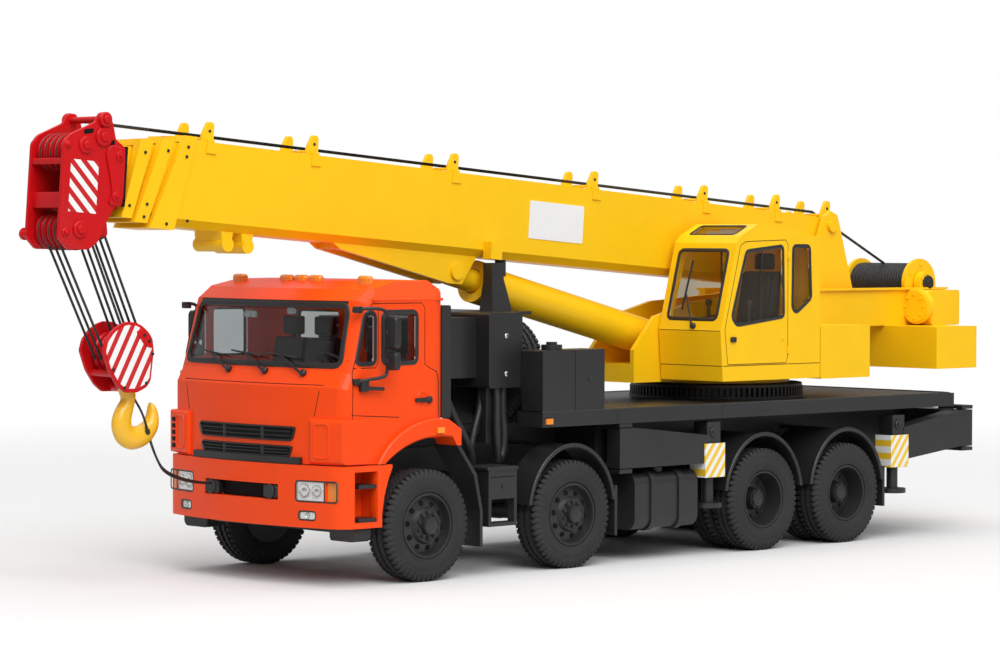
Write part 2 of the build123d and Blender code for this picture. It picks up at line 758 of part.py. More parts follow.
with BuildPart() as mudguards:
    crown = tyre_radius + arch_height - arch_sheet
    for x, inner in ((axle_2_x, front_guard_inner), (axle_3_x, rear_guard_inner), (axle_4_x, rear_guard_inner)):
        add(both_sides(arch(x, inner)))
        add(both_sides(block((x - 1.5, x + 1.5), (rail_outer_y, inner + 2), (crown, crown + arch_sheet))))
    flap_x = axle_2_x - arch_half + 0.2
    add(both_sides(block((flap_x - 0.8, flap_x), (front_guard_inner, guard_outer), (6.4, arch_foot + 3))))
    flap_x = axle_4_x - arch_half + 0.2
    add(both_sides(block((flap_x - 0.8, flap_x), (rear_guard_inner, guard_outer), (7.9, arch_foot + 3))))
    add(both_sides(slab(side, [
        (-8.2, 28.2), (-9.2, 28.2), (-14.0, 22.0), (-15.8, 14.0), (-15.8, 6.4), (-15.0, 6.4),
        (-15.0, 14.0), (-13.2, 21.6),
    ], front_guard_inner, guard_outer - 0.2)))
    add(both_sides(block((-15.6, -13.8), (rail_outer_y, front_guard_inner + 1), (19.6, 20.4))))
save(mudguards.part, "mudguards")

# Side boxes and tanks
with BuildPart() as battery_boxes:
    add(both_sides(slab(side, rect(-26.0, -17.7, 16.2, 22.6), 20.6, 28.6, 0.5)))
    for x in (-26.0, -18.5):
        add(both_sides(block((x, x + 0.8), (26.6, 28.6), (10.4, 17.0))))
    add(both_sides(block((-26.0, -17.7), (25.6, 28.6), (10.4, 11.2))))
    add(both_sides(block((-23.6, -20.2), (rail_outer_y, 21.2), (19.4, 21.4))))
save(battery_boxes.part, "battery_boxes")

tank_x = (-83.4, -63.0)
tank_y = (13.0, 28.0)
tank_z = (6.9, 19.6)


def tank_body(x_range, grow, radius):
    """A length of the tank's rounded form, swollen outwards a little for a strap."""
    with BuildPart() as piece:
        add(block(x_range, (tank_y[0] - grow, tank_y[1] + grow), (tank_z[0] - grow, tank_z[1] + grow)))
        fillet(piece.edges().filter_by(Axis.X), radius)
    return piece.part


with BuildPart() as fuel_tanks:
    add(both_sides(tank_body(tank_x, 0, 2.6)))
    for x in (-78.5, -69.5):
        add(both_sides(tank_body((x, x + 1.6), 0.4, 2.8)))
        add(both_sides(block((x, x + 1.6), (rail_outer_y, tank_y[0] + 1), (tank_z[1] - 2.8, tank_z[1] - 0.6))))
    add(both_sides(post(-73.2, 24.6, 1.5, tank_z[1] - 0.5, tank_z[1] + 0.9)))
save(fuel_tanks.part, "fuel_tanks")

with BuildPart() as equipment_box:
    add(slab(side, rect(box_rear, box_front, box_low, box_high), -box_half_width, box_half_width, 0.6))
    add(block((shelf_rear, box_rear + 1), (-14.0, 14.0), (box_high - shelf_thickness, box_high)))
    add(block((shelf_rear, shelf_rear + 0.9), (-13.0, -6.0), (deck_top, box_high)))
    add(slab(side, rect(box_front - 1, -10.4, 41.6, box_high - 1.0), -18.0, 18.0, 0.5))
    add(slab(side, rect(box_front, -7.4, 47.2, box_high - 3.0), -12.0, 12.0, 0.5))
    add(slab(side, [
        (box_front + 1, rail_high), (-9.0, rail_high), (-8.0, 30.0), (-8.0, 39.0), (-10.0, 43.0), (box_front + 1, 43.0),
    ], -rail_inner_y + 0.4, rail_inner_y - 0.4, 0.6))
    for y in (-8.5, 5.5):
        add(block((box_rear + 2, box_front - 2), (y, y + 3.0), (deck_low, box_low + 1)))
    for y in (-20.0, 18.0):
        add(block((box_front - 3, box_front - 1), (y, y + 2.0), (rail_high + 1, box_low + 1)))
        low, high = sorted((y, -rail_outer_y if y < 0 else rail_outer_y))
        add(block((box_front - 3, box_front - 1), (low, high), (rail_high + 1, rail_high + 3)))
save(equipment_box.part, "equipment_box")

with BuildPart() as air_intake:
    add(slab(side, rect(cab_rear - 2.6, cab_rear, 34.0, 57.6), 24.6, 27.6, 0.5))
save(air_intake.part, "air_intake")

with BuildPart() as tool_boxes:
    add(both_sides(slab(
        side, rect(tool_box_rear, deck_front - 0.3, deck_top, tool_box_high), tool_box_inner_y, tool_box_outer_y, 0.4,
    )))
    add(both_sides(post(-39.4, 25.5, 2.3, tool_box_high - 0.5, tool_box_high + 1.1)))
    add(both_sides(post(-39.4, 25.5, 1.2, tool_box_high - 0.5, tool_box_high + 1.7)))
save(tool_boxes.part, "tool_boxes")

# Spare wheel, standing across the vehicle on the subframe
spare_width = 6.7
spare_centre = Vector(front_axle_x + spare_front, spare_y, deck_low + tyre_radius)
with BuildPart() as spare_wheel:
    with BuildSketch(Plane(origin=spare_centre, x_dir=(-1, 0, 0), z_dir=(0, 1, 0))):
        with BuildLine():
            Polyline(
                (1.6, 0), (1.2, 3.6), (1.8, 5.9), (0.6, 6.9), (0, 8.4), (0, tyre_radius - 1.5), (0.9, tyre_radius),
                (spare_width - 0.9, tyre_radius), (spare_width, tyre_radius - 1.5), (spare_width, 8.4),
                (spare_width - 0.6, 6.9), (spare_width - 1.6, 6.2), (spare_width - 2.4, 3.0), (spare_width - 2.4, 0),
                close=True,
            )
        make_face()
    revolve(axis=Axis(spare_centre, (1, 0, 0)))
save(spare_wheel.part, "spare_wheel")

# Boom rest: a flared tower on the shelf, on the near side of the lift cylinder
rest_inner_y = 5.6
rest_x = -39.6
with BuildPart() as boom_rest:
    with BuildSketch(Plane.XY.offset(box_high)):
        with Locations((front_axle_x + rest_x, rest_inner_y + 2.1)):
            Rectangle(6.0, 4.2)
    with BuildSketch(Plane.XY.offset(box_high + 7.0)):
        with Locations((front_axle_x + rest_x, rest_inner_y + 1.4)):
            Rectangle(3.6, 2.8)
    loft()
    add(block((rest_x - 1.8, rest_x + 1.8), (rest_inner_y, rest_inner_y + 2.8), (box_high + 7.0, rest_top)))
    add(block((rest_x - 2.4, rest_x - 1.7), (rest_inner_y, rest_inner_y + 2.8), (rest_top - 3.0, rest_top + 0.7)))
save(boom_rest.part, "boom_rest")

# Outrigger arms and jacks, one of each at every corner
post_half = 2.2
post_y = (hinge_y - 2.2, hinge_y + 1.9)
plate_half = 3.2
plate_y = (hinge_y - 2.4, hinge_y + 2.3)
plate_height = 7.8


def arm(outline, hinge, jack, post_low, post_high):
    """A swing arm on the left side, with its hinge eye and the post that holds the jack."""
    with BuildPart() as piece:
        add(slab(side, outline, arm_inner_y, arm_outer_y))
        add(block((jack - post_half, jack + post_half), post_y, (post_low, post_high)))
        add(block((jack - plate_half, jack + plate_half), plate_y, (post_low, post_low + plate_height)))
        add(post(hinge, hinge_y, hinge_pin + running_gap, front_arm_low - 2, front_arm_high + 2), mode=Mode.SUBTRACT)
        add(post(jack, hinge_y, jack_radius + 0.15, post_low - 1, post_high - 1.2), mode=Mode.SUBTRACT)
    return piece.part


def jack_leg(jack, top):
    """A jack's leg and its round foot, on the left side."""
    with BuildPart() as piece:
        add(post(jack, hinge_y, jack_radius, foot_low + 0.6, top))
        add(post(jack, hinge_y, foot_radius, foot_low, foot_low + 1.1))
    return piece.part


front_arm = arm([
    (front_hinge_x + 1.9, front_arm_high), (front_hinge_x - 3, front_arm_high), (front_jack_x + 1.5, 27.2),
    (front_jack_x + 1.5, front_arm_low), (front_hinge_x + 1.9, front_arm_low),
], front_hinge_x, front_jack_x, 17.6, 30.2)
rear_arm = arm([
    (rear_hinge_x - 1.9, front_arm_high), (rear_hinge_x + 3, front_arm_high), (rear_jack_x - 2, 26.4),
    (rear_jack_x - 2, rear_arm_low), (rear_hinge_x + 3, front_arm_low), (rear_hinge_x - 1.9, front_arm_low),
], rear_hinge_x, rear_jack_x, 16.9, 29.4)
front_leg = jack_leg(front_jack_x, 28.8)
rear_leg = jack_leg(rear_jack_x, 28.0)
for place, arm_part, leg_part in (("front", front_arm, front_leg), ("rear", rear_arm, rear_leg)):
    with BuildPart() as left_arm:
        add(arm_part)
    save(left_arm.part, f"outrigger_{place}_left")
    with BuildPart() as left_leg:
        add(leg_part)
    save(left_leg.part, f"jack_{place}_left")
    with BuildPart() as right_arm:
        add(arm_part.mirror(Plane.XZ))
    save(right_arm.part, f"outrigger_{place}_right")
    with BuildPart() as right_leg:
        add(leg_part.mirror(Plane.XZ))
    save(right_leg.part, f"jack_{place}_right")

# Slewing gear, fixed on the deck
with BuildPart() as slewing_gear:
    add(post(slew_x, 0, gear_radius, deck_top, gear_high))
save(slewing_gear.part, "slewing_gear")

# Turntable: base plate on a bearing ring, and the box behind the operator's cab
side_box_x = (-144.6, op_rear - 0.3)
with BuildPart() as turntable_base:
    add(post(slew_x, 0, gear_radius - 3.4, gear_high + slew_gap, table_low + 0.5))
    add(block((-150.0, -84.0), (-14.0, cheek_outer_y), (table_low, table_high)))
    add(block((-150.0, op_rear - 0.3), (cheek_outer_y, 16.0), (table_low, table_high)))
    add(slab(side, rect(*side_box_x, table_low + 0.4, 51.2), 12.6, op_outer_y, 0.4))
save(turntable_base.part, "turntable_base")

# Cheeks: two plates that carry the boom's foot pin and the cylinder's base pin
cheek_outline = [
    (-84.0, table_high), (-84.0, 46.0), (-91.0, 53.6), (-104.0, 56.8), (-126.0, 58.2), (-140.0, 60.2),
    (-149.0, 72.4), (-151.0, 77.2), (-153.2, 78.4), (-155.6, 77.4), (-156.6, 74.6), (-161.4, 59.4),
    (-161.4, beam_low), (-150.0, table_high),
]
with BuildPart() as turntable_cheeks:
    add(both_sides(slab(side, cheek_outline, cheek_inner_y, cheek_outer_y)))
    add(both_sides(disc(side, (ram_base_x, ram_base_z), 2.6, 3.8, cheek_inner_y)))
    add(block((-160.6, -158.6), (-cheek_inner_y, cheek_inner_y), (beam_low, beam_high - 2.0)))
    add(disc(side, (foot_x, foot_z), foot_pin + running_gap, -20, 20), mode=Mode.SUBTRACT)
    add(disc(side, (ram_base_x, ram_base_z), ram_pin + running_gap, -20, 20), mode=Mode.SUBTRACT)
save(turntable_cheeks.part, "turntable_cheeks")

# Winch frame: two beams, their ties, the drum's bearings and the motor
flange_sheet = 0.5
with BuildPart() as winch_frame:
    add(both_sides(block((beam_rear, op_rear - 0.6), (beam_inner_y, beam_outer_y), (beam_low, beam_high))))
    add(both_sides(block(
        (beam_rear, op_rear - 0.6), (beam_inner_y, beam_outer_y + 0.9), (beam_high - flange_sheet, beam_high),
    )))
    add(both_sides(block((-161.0, -140.0), (cheek_outer_y, beam_inner_y), (beam_low, beam_low + 3.0))))
    add(block((beam_rear, beam_rear + 1.2), (-beam_inner_y, beam_inner_y), (beam_low, beam_low + 3.4)))
    add(both_sides(disc(side, (drum_x, drum_z), 3.0, beam_inner_y, beam_outer_y)))
    add(slab(side, rect(-189.4, -178.4, beam_low, 59.0), beam_outer_y, 18.4, 0.8))
    add(bar((front_axle_x - 178.6, 15.4, 55.0), (front_axle_x - 175.4, 15.4, 55.0), 3.9))
    add(disc(side, (drum_x, drum_z), drum_pin + running_gap, -20, 20), mode=Mode.SUBTRACT)
save(winch_frame.part, "winch_frame")

with BuildPart() as counterweight:
    add(block((weight_rear, weight_front), (-weight_half_width, weight_half_width), (weight_low, beam_low)))
    fillet(counterweight.edges().filter_by(Axis.Z), 0.5)
save(counterweight.part, "counterweight")

with BuildPart() as winch_drum:
    flange = 1.0
    add(turned(drum_x, drum_z, [
        (-beam_outer_y, 0), (-beam_outer_y, drum_pin), (-drum_half_width, drum_pin), (-drum_half_width, drum_flange),
        (-drum_half_width + flange, drum_flange), (-drum_half_width + flange, drum_core),
        (drum_half_width - flange, drum_core), (drum_half_width - flange, drum_flange),
        (drum_half_width, drum_flange), (drum_half_width, drum_pin), (beam_outer_y, drum_pin), (beam_outer_y, 0),
    ]))
save(winch_drum.part, "winch_drum")

with BuildPart() as winch_rope:
    add(turned(drum_x, drum_z, [
        (-drum_half_width + flange, drum_core + seat_gap), (-drum_half_width + flange, rope_layer),
        (drum_half_width - flange, rope_layer), (drum_half_width - flange, drum_core + seat_gap),
    ]))
save(winch_rope.part, "winch_rope")

# Operator's cab
op_outline = [
    (-92.8, op_low), (-91.9, 50.6), (-97.2, 70.6), (-98.6, 72.2), (-104.5, 75.0), (-112.0, 75.0),
    (op_rear, 72.0), (op_rear, op_low),
]
op_floor = 43.2
op_door_window = [(-100.6, 68.8), (-113.2, 70.0), (-113.6, 53.6), (-97.4, 51.8), (-95.8, 53.8)]
op_quarter_window = [(-116.8, 70.0), (-122.6, 70.0), (-123.2, 57.8), (-118.0, 54.4), (-116.6, 55.4)]
op_front_window = [(9.8, 53.2), (25.0, 53.2), (25.0, 69.0), (9.8, 69.0)]
op_sky_window = [(10.2, -103.6), (24.4, -103.6), (24.4, -99.4), (10.2, -99.4)]


def op_form(inset):
    """The operator's cab as a closed form, drawn in by a wall thickness."""
    with BuildPart() as form:
        with BuildSketch(side.offset(-(op_outer_y - inset))):
            with BuildLine():
                Polyline(*op_outline, close=True)
            make_face()
            if inset:
                offset(amount=-inset, kind=Kind.INTERSECTION, mode=Mode.REPLACE)
        extrude(amount=op_outer_y - op_inner_y - 2 * inset)
        if inset:
            add(block((op_rear, -90.0), (op_inner_y, op_outer_y), (op_low, op_floor)), mode=Mode.SUBTRACT)
    return form.part


def sky_panel(shrink):
    """The skylight's outline seen from above, carried down through the roof."""
    with BuildPart() as piece:
        with BuildSketch(Plane(origin=(front_axle_x, 0, 70.0))) as outline:
            with BuildLine():
                Polyline(*[(x, y) for y, x in op_sky_window], close=True)
            make_face()
            if shrink:
                offset(amount=-shrink, mode=Mode.REPLACE)
        extrude(amount=8.0)
    return piece.part


with BuildPart() as op_cab_shell:
    add(op_form(0))
    add(op_form(op_wall), mode=Mode.SUBTRACT)
    add(cross_panel(-90.0, op_front_window, 14), mode=Mode.SUBTRACT)
    add(slab(side, op_door_window, op_inner_y - 1, op_outer_y + 1, 0.9), mode=Mode.SUBTRACT)
    add(slab(side, op_quarter_window, op_outer_y - 2, op_outer_y + 1, 0.9), mode=Mode.SUBTRACT)
    add(sky_panel(0), mode=Mode.SUBTRACT)
save(op_cab_shell.part, "op_cab_shell")

with BuildPart() as op_front_pane:
    add(cross_panel(-90.0, op_front_window, 14, glass_gap))
    add(slab(side, [(-91.9 - 0.2, 50.6), (-97.2 - 0.2, 70.6), (-97.7 - 0.2, 70.6), (-92.4 - 0.2, 50.6)],
             op_inner_y, op_outer_y), mode=Mode.INTERSECT)
with BuildPart() as op_sky_pane:
    add(sky_panel(glass_gap))
    add(slab(side, [(-98.6, 71.9), (-104.5, 74.7), (-104.5, 74.2), (-98.6, 71.4)],
             op_inner_y, op_outer_y), mode=Mode.INTERSECT)
with BuildPart() as op_cab_glass:
    add(op_front_pane.part)
    add(op_sky_pane.part)
    for window, y in ((op_door_window, op_outer_y - 0.3), (op_quarter_window, op_outer_y - 0.3),
                      (op_door_window, op_inner_y + 0.7)):
        add(flat_pane(window, y, 0.9))
save(op_cab_glass.part, "op_cab_glass")

with BuildPart() as op_cab_seat:
    add(slab(side, [
        (-104.0, op_floor), (-103.4, 50.8), (-112.6, 50.2), (-115.6, 64.0), (-118.0, 64.0), (-116.4, op_floor),
    ], 13.0, 22.0, 0.8))
    add(slab(side, rect(-99.6, -97.2, op_floor, 52.0), 12.0, 23.0, 0.5))
    for y in (11.4, 23.6):
        add(post(-105.0, y, 0.45, op_floor, 56.4))
save(op_cab_seat.part, "op_cab_seat")

# Boom: an outer section on the foot pin and three sections that slide out of it
half_boom = boom_width / 2
boom_middle = boom_top - boom_height / 2
step_in = boom_wall + slide_gap


def section_size(number):
    """Half the width and half the height of a boom section, counted from the outer one as nought."""
    return half_boom - number * step_in, boom_height / 2 - number * step_in


def tube(number, start, end_top, end_low):
    """A hollow section of the boom with bevelled lower edges, cut off on the slant at its mouth."""
    half_y, half_t = section_size(number)
    bevel = 1.6
    with BuildPart() as piece:
        with BuildSketch(Plane(boom_plane.from_local_coords(Vector(start, boom_middle, 0)),
                               x_dir=(0, 1, 0), z_dir=boom_plane.x_dir)):
            for inset, mode in ((0.0, Mode.ADD), (boom_wall, Mode.SUBTRACT)):
                y = half_y - inset
                t = half_t - inset
                with BuildLine():
                    Polyline((-y, t), (y, t), (y, -t + bevel), (y - bevel, -t), (-y + bevel, -t), (-y, -t + bevel),
                             close=True)
                make_face(mode=mode)
        extrude(amount=max(end_top, end_low) - start)
        add(slab(boom_plane, [
            (end_top, boom_top + 1), (end_low, boom_top - boom_height - 1), (end_low + 20, boom_top - boom_height - 1),
            (end_top + 20, boom_top + 1),
        ], -half_boom - 1, half_boom + 1), mode=Mode.SUBTRACT)
    return piece.part


def collar(number, rear_top, length_top, rear_low, length_low, half_y, high, low):
    """A slanted band round a section's mouth, with the section's own bore cut through it."""
    with BuildPart() as piece:
        add(slab(boom_plane, [
            (rear_top, high), (rear_top + length_top, high), (rear_low + length_low, low), (rear_low, low),
        ], -half_y, half_y))
        inner_y, inner_t = section_size(number)
        add(slab(boom_plane, rect(
            rear_top - 10, rear_low + length_low + 10, boom_middle - inner_t + boom_wall, boom_middle + inner_t - boom_wall,
        ), -inner_y + boom_wall, inner_y - boom_wall), mode=Mode.SUBTRACT)
    return piece.part


fin_places = (193.0, 164.7, 124.1, 80.3, 43.3, 17.6, -1.0)
with BuildPart() as boom_base:
    add(tube(0, boom_tail, boom_end, boom_end + 7.4))
    add(slab(boom_plane, rect(boom_tail, boom_tail + 4.6, boom_middle - 7.6, boom_top - 0.3), -half_boom + 0.3, half_boom - 0.3))
    add(collar(0, 196.9, 3.3, 201.6, 6.2, half_boom + 0.6, boom_top + 0.7, boom_top - boom_height - 0.8))
    add(disc(boom_plane, (0, 0), foot_pin, -cheek_outer_y - 0.9, cheek_outer_y + 0.9))
save(boom_base.part, "boom_base")

fin_height = 3.6
fin_y = 2.6
fin_thickness = 0.8
with BuildPart() as boom_guides:
    for place in fin_places:
        add(slab(boom_plane, [
            (place - 1.4, boom_top), (place - 0.2, boom_top + fin_height), (place + 0.8, boom_top + fin_height),
            (place + 1.0, boom_top),
        ], fin_y, fin_y + fin_thickness))
        add(slab(boom_plane, [
            (place - 1.4, boom_top), (place - 0.2, boom_top + fin_height), (place + 0.8, boom_top + fin_height),
            (place + 1.0, boom_top),
        ], -fin_y - fin_thickness, -fin_y))
        add(slab(boom_plane, rect(place - 2.2, place + 3.0, boom_top, boom_top + 0.7),
                 -fin_y - fin_thickness, fin_y + fin_thickness))
        add(disc(boom_plane, (place, boom_top + 1.2), 0.6, -fin_y - 0.1, fin_y + 0.1))
save(boom_guides.part, "boom_guides")

boom_low = boom_top - boom_height
rest_lug_s = (111.2, 114.6)
with BuildPart() as boom_brackets:
    for low, high in ((2.9, 4.0), (-4.0, -2.9)):
        add(slab(boom_plane, [
            (eye_s - 6.0, boom_low), (eye_s + 36.0, boom_low), (eye_s + 34.0, boom_low - 1.2),
            (eye_s + 2.0, eye_t - 2.6), (eye_s - 2.0, eye_t - 2.6),
        ], low, high))
    for low, high in ((4.0, 4.7), (-4.7, -4.0)):
        add(disc(boom_plane, (eye_s, eye_t), 1.7, low, high))
    add(slab(boom_plane, rect(eye_s + 6.0, eye_s + 34.0, boom_low - 1.2, boom_low), -4.0, 4.0))
    add(slab(boom_plane, rect(*rest_lug_s, boom_low - 0.4, boom_low + 3.4), half_boom, half_boom + 2.6))
    for s in (181.0, 186.4):
        add(slab(boom_plane, [
            (s - 1.6, boom_low), (s + 1.6, boom_low), (s + 1.0, boom_low - 3.2), (s - 1.0, boom_low - 3.2),
        ], -4.4, 4.4))
        add(disc(boom_plane, (s, boom_low - 2.6), 1.5, -4.9, 4.9))
save(boom_brackets.part, "boom_brackets")

section_tail = 12.0
with BuildPart() as boom_section_2:
    add(tube(1, section_tail, 205.2, 211.2))
    add(collar(1, 202.4, 3.0, 208.2, 3.2, 5.7, boom_top - 0.3, boom_low + 0.1))
save(boom_section_2.part, "boom_section_2")

with BuildPart() as boom_section_3:
    add(tube(2, section_tail + 4, 210.4, 214.2))
    add(collar(2, 207.4, 3.2, 211.8, 2.6, 5.2, boom_top - 1.0, boom_low + 0.8))
save(boom_section_3.part, "boom_section_3")

with BuildPart() as boom_section_4:
    add(tube(3, section_tail + 8, 222.0, 222.0))
save(boom_section_4.part, "boom_section_4")

# Boom head: two cheek plates with sheaves and cross bars between them
head_outline = [
    (head_front, -1.2), (223.0, 3.4), (219.6, 4.4), (218.4, -0.2), (214.9, -1.4), (214.9, -12.7),
    (217.9, -13.6), (222.0, -21.4), (229.6, -22.4), (head_front, -20.8),
]
with BuildPart() as boom_head:
    for low, high in ((head_inner_y, head_outer_y), (-head_outer_y, -head_inner_y)):
        add(slab(boom_plane, head_outline, low, high, 0.5))
    half_y, half_t = section_size(3)
    for low, high in ((half_y, head_inner_y), (-head_inner_y, -half_y)):
        add(slab(boom_plane, rect(215.4, 221.6, boom_middle - 4.5, boom_middle + 4.5), low, high))
    for place in (upper_sheave, lower_sheave):
        add(disc(boom_plane, place, 1.2, -head_outer_y - 0.8, head_outer_y + 0.8))
        for row in range(-2, 3):
            add(disc(boom_plane, place, sheave_radius, 2.0 * row - 0.55, 2.0 * row + 0.55))
    for s, t in ((head_front - 0.9, -4.8), (head_front - 1.2, -12.0), (221.0, 3.2)):
        add(disc(boom_plane, (s, t), 0.9, -head_outer_y - 0.5, head_outer_y + 0.5))
    add(disc(boom_plane, (221.0, 3.2), 2.0, -head_outer_y - 0.6, -head_inner_y))
    add(disc(boom_plane, (221.0, 3.2), 2.0, head_inner_y, head_outer_y + 0.6))
save(boom_head.part, "boom_head")

# Lift cylinder and its rod
with BuildPart() as lift_cylinder:
    base_eye = 3.0
    start = ram_plane.from_local_coords(Vector(3.4, 0, 0))
    end = ram_plane.from_local_coords(Vector(tube_length, 0, 0))
    tip = ram_plane.from_local_coords(Vector(gland_length, 0, 0))
    gland = ram_plane.from_local_coords(Vector(tube_length - 2.2, 0, 0))
    bottom = ram_plane.from_local_coords(Vector(rod_inner_end - 0.6, 0, 0))
    add(bar(start, end, tube_radius))
    add(bar(gland, tip, tube_radius + 0.6))
    add(disc(ram_plane, (0, 0), base_eye, -3.5, 3.5))
    add(disc(ram_plane, (0, 0), ram_pin, -cheek_outer_y, cheek_outer_y))
    add(bar(bottom, ram_plane.from_local_coords(Vector(gland_length + 1, 0, 0)), rod_radius + ram_gap),
        mode=Mode.SUBTRACT)
save(lift_cylinder.part, "lift_cylinder")

with BuildPart() as lift_rod:
    eye_half = 2.6
    eye_radius = 2.6
    add(bar(ram_plane.from_local_coords(Vector(rod_inner_end, 0, 0)),
            ram_plane.from_local_coords(Vector(ram_length - 1.5, 0, 0)), rod_radius))
    add(disc(ram_plane, (ram_length, 0), eye_radius, -eye_half, eye_half))
    add(disc(ram_plane, (ram_length, 0), ram_pin + 0.25, -10, 10), mode=Mode.SUBTRACT)
save(lift_rod.part, "lift_rod")

# Falls, hook block and hook, hanging from the lower sheaves
fall_x = sheave_radius + fall_radius + fall_gap
front_falls = (-2.0, 0.0, 2.0)
rear_falls = (-2.5, -1.5, -0.5, 0.5, 1.5, 2.5)
with BuildPart() as rope_falls:
    for x, rows in ((fall_x, front_falls), (-fall_x, rear_falls)):
        for y in rows:
            add(bar(hook_plane.from_local_coords(Vector(x, -0.4, -y)),
                    hook_plane.from_local_coords(Vector(x, block_centre + 0.6, -y)), fall_radius))
save(rope_falls.part, "rope_falls")

block_outline = [
    (-7.9, -28.9), (-7.2, -25.8), (-5.0, -23.2), (-1.4, -22.0), (2.2, -22.6), (4.7, -24.6), (5.6, -28.4),
    (5.0, -32.6), (3.4, -35.4), (0.2, -36.8), (-2.8, -36.8), (-4.6, -35.2), (-7.3, -31.2),
]
with BuildPart() as hook_block:
    for low, high in ((block_inner_y, block_outer_y), (-block_outer_y, -block_inner_y)):
        add(slab(hook_plane, block_outline, low, high, 0.6))
    add(disc(hook_plane, (0, block_centre), 1.2, -block_outer_y - 0.5, block_outer_y + 0.5))
    for row in range(-2, 3):
        add(disc(hook_plane, (0, block_centre), sheave_radius, row - 0.3, row + 0.3))
    add(disc(hook_plane, (4.2, -31.4), 0.7, -block_outer_y, block_outer_y))
    add(slab(hook_plane, rect(-2.4, 2.4, -36.6, -34.2), -block_inner_y, block_inner_y))
save(hook_block.part, "hook_block")

with BuildPart() as hook:
    with BuildSketch(hook_plane.offset(-1.6)):
        with Locations((0, hook_centre)):
            Circle(hook_outer)
        with Locations((-0.3, hook_centre + 0.4)):
            Circle(hook_inner, mode=Mode.SUBTRACT)
        with BuildLine():
            Polyline((-1.9, hook_centre + 1.4), (-3.1, hook_centre + 1.4), (-3.9, hook_centre + 8), (-1.3, hook_centre + 8),
                     close=True)
        make_face(mode=Mode.SUBTRACT)
        with Locations((0.4, hook_centre + 4.9)):
            Rectangle(3.0, 3.8)
    extrude(amount=3.2)
    add(bar(hook_plane.from_local_coords(Vector(0.4, hook_centre + 5.0, 0)),
            hook_plane.from_local_coords(Vector(0.4, -36.6, 0)), 1.3))
save(hook.part, "hook")
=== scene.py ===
"""Dresses a scale model of a truck crane: finishes for its solids, and the fine pieces they leave out.

Sizes are millimetres, counted along the vehicle from the first axle, across it from the middle plane,
and up from the ground. A mesh turns them into metres of the shared frame when it is made.
"""
from __future__ import annotations

import logging
from dataclasses import dataclass, field
from enum import Enum
from typing import Optional, Sequence, Union

import bmesh
import bpy
import numpy as np
from mathutils import Matrix

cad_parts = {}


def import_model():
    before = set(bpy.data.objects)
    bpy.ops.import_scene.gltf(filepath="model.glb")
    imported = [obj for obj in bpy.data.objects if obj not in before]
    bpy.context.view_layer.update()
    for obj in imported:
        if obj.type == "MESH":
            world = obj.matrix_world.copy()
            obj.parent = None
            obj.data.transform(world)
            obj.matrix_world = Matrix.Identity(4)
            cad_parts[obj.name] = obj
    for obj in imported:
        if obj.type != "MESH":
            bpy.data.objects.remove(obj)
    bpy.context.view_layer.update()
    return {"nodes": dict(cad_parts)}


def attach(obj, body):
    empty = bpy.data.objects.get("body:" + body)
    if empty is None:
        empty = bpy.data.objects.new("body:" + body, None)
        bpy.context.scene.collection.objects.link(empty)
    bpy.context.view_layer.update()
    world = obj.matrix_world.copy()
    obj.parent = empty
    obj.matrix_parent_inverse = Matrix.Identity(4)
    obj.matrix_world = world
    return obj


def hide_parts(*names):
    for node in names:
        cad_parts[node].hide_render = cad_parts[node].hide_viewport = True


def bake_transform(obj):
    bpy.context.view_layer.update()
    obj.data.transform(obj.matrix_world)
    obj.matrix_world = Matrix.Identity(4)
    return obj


LOG = logging.getLogger("crane")
MM = 0.001
FRONT_AXLE = np.array([56.155, 0.0, 0.0])
TURN = 2.0 * np.pi
ALONG = (1, 0, 0)
ACROSS = (0, 1, 0)
UPWARD = (0, 0, 1)
Colour = tuple[float, float, float]
Points = Sequence[Sequence[float]]
Width = Union[float, np.ndarray]
Direction = Union[Sequence[float], np.ndarray]


class Side(Enum):
    """The two sides of the vehicle, as the sign of the distance across it."""

    LEFT = 1
    RIGHT = -1


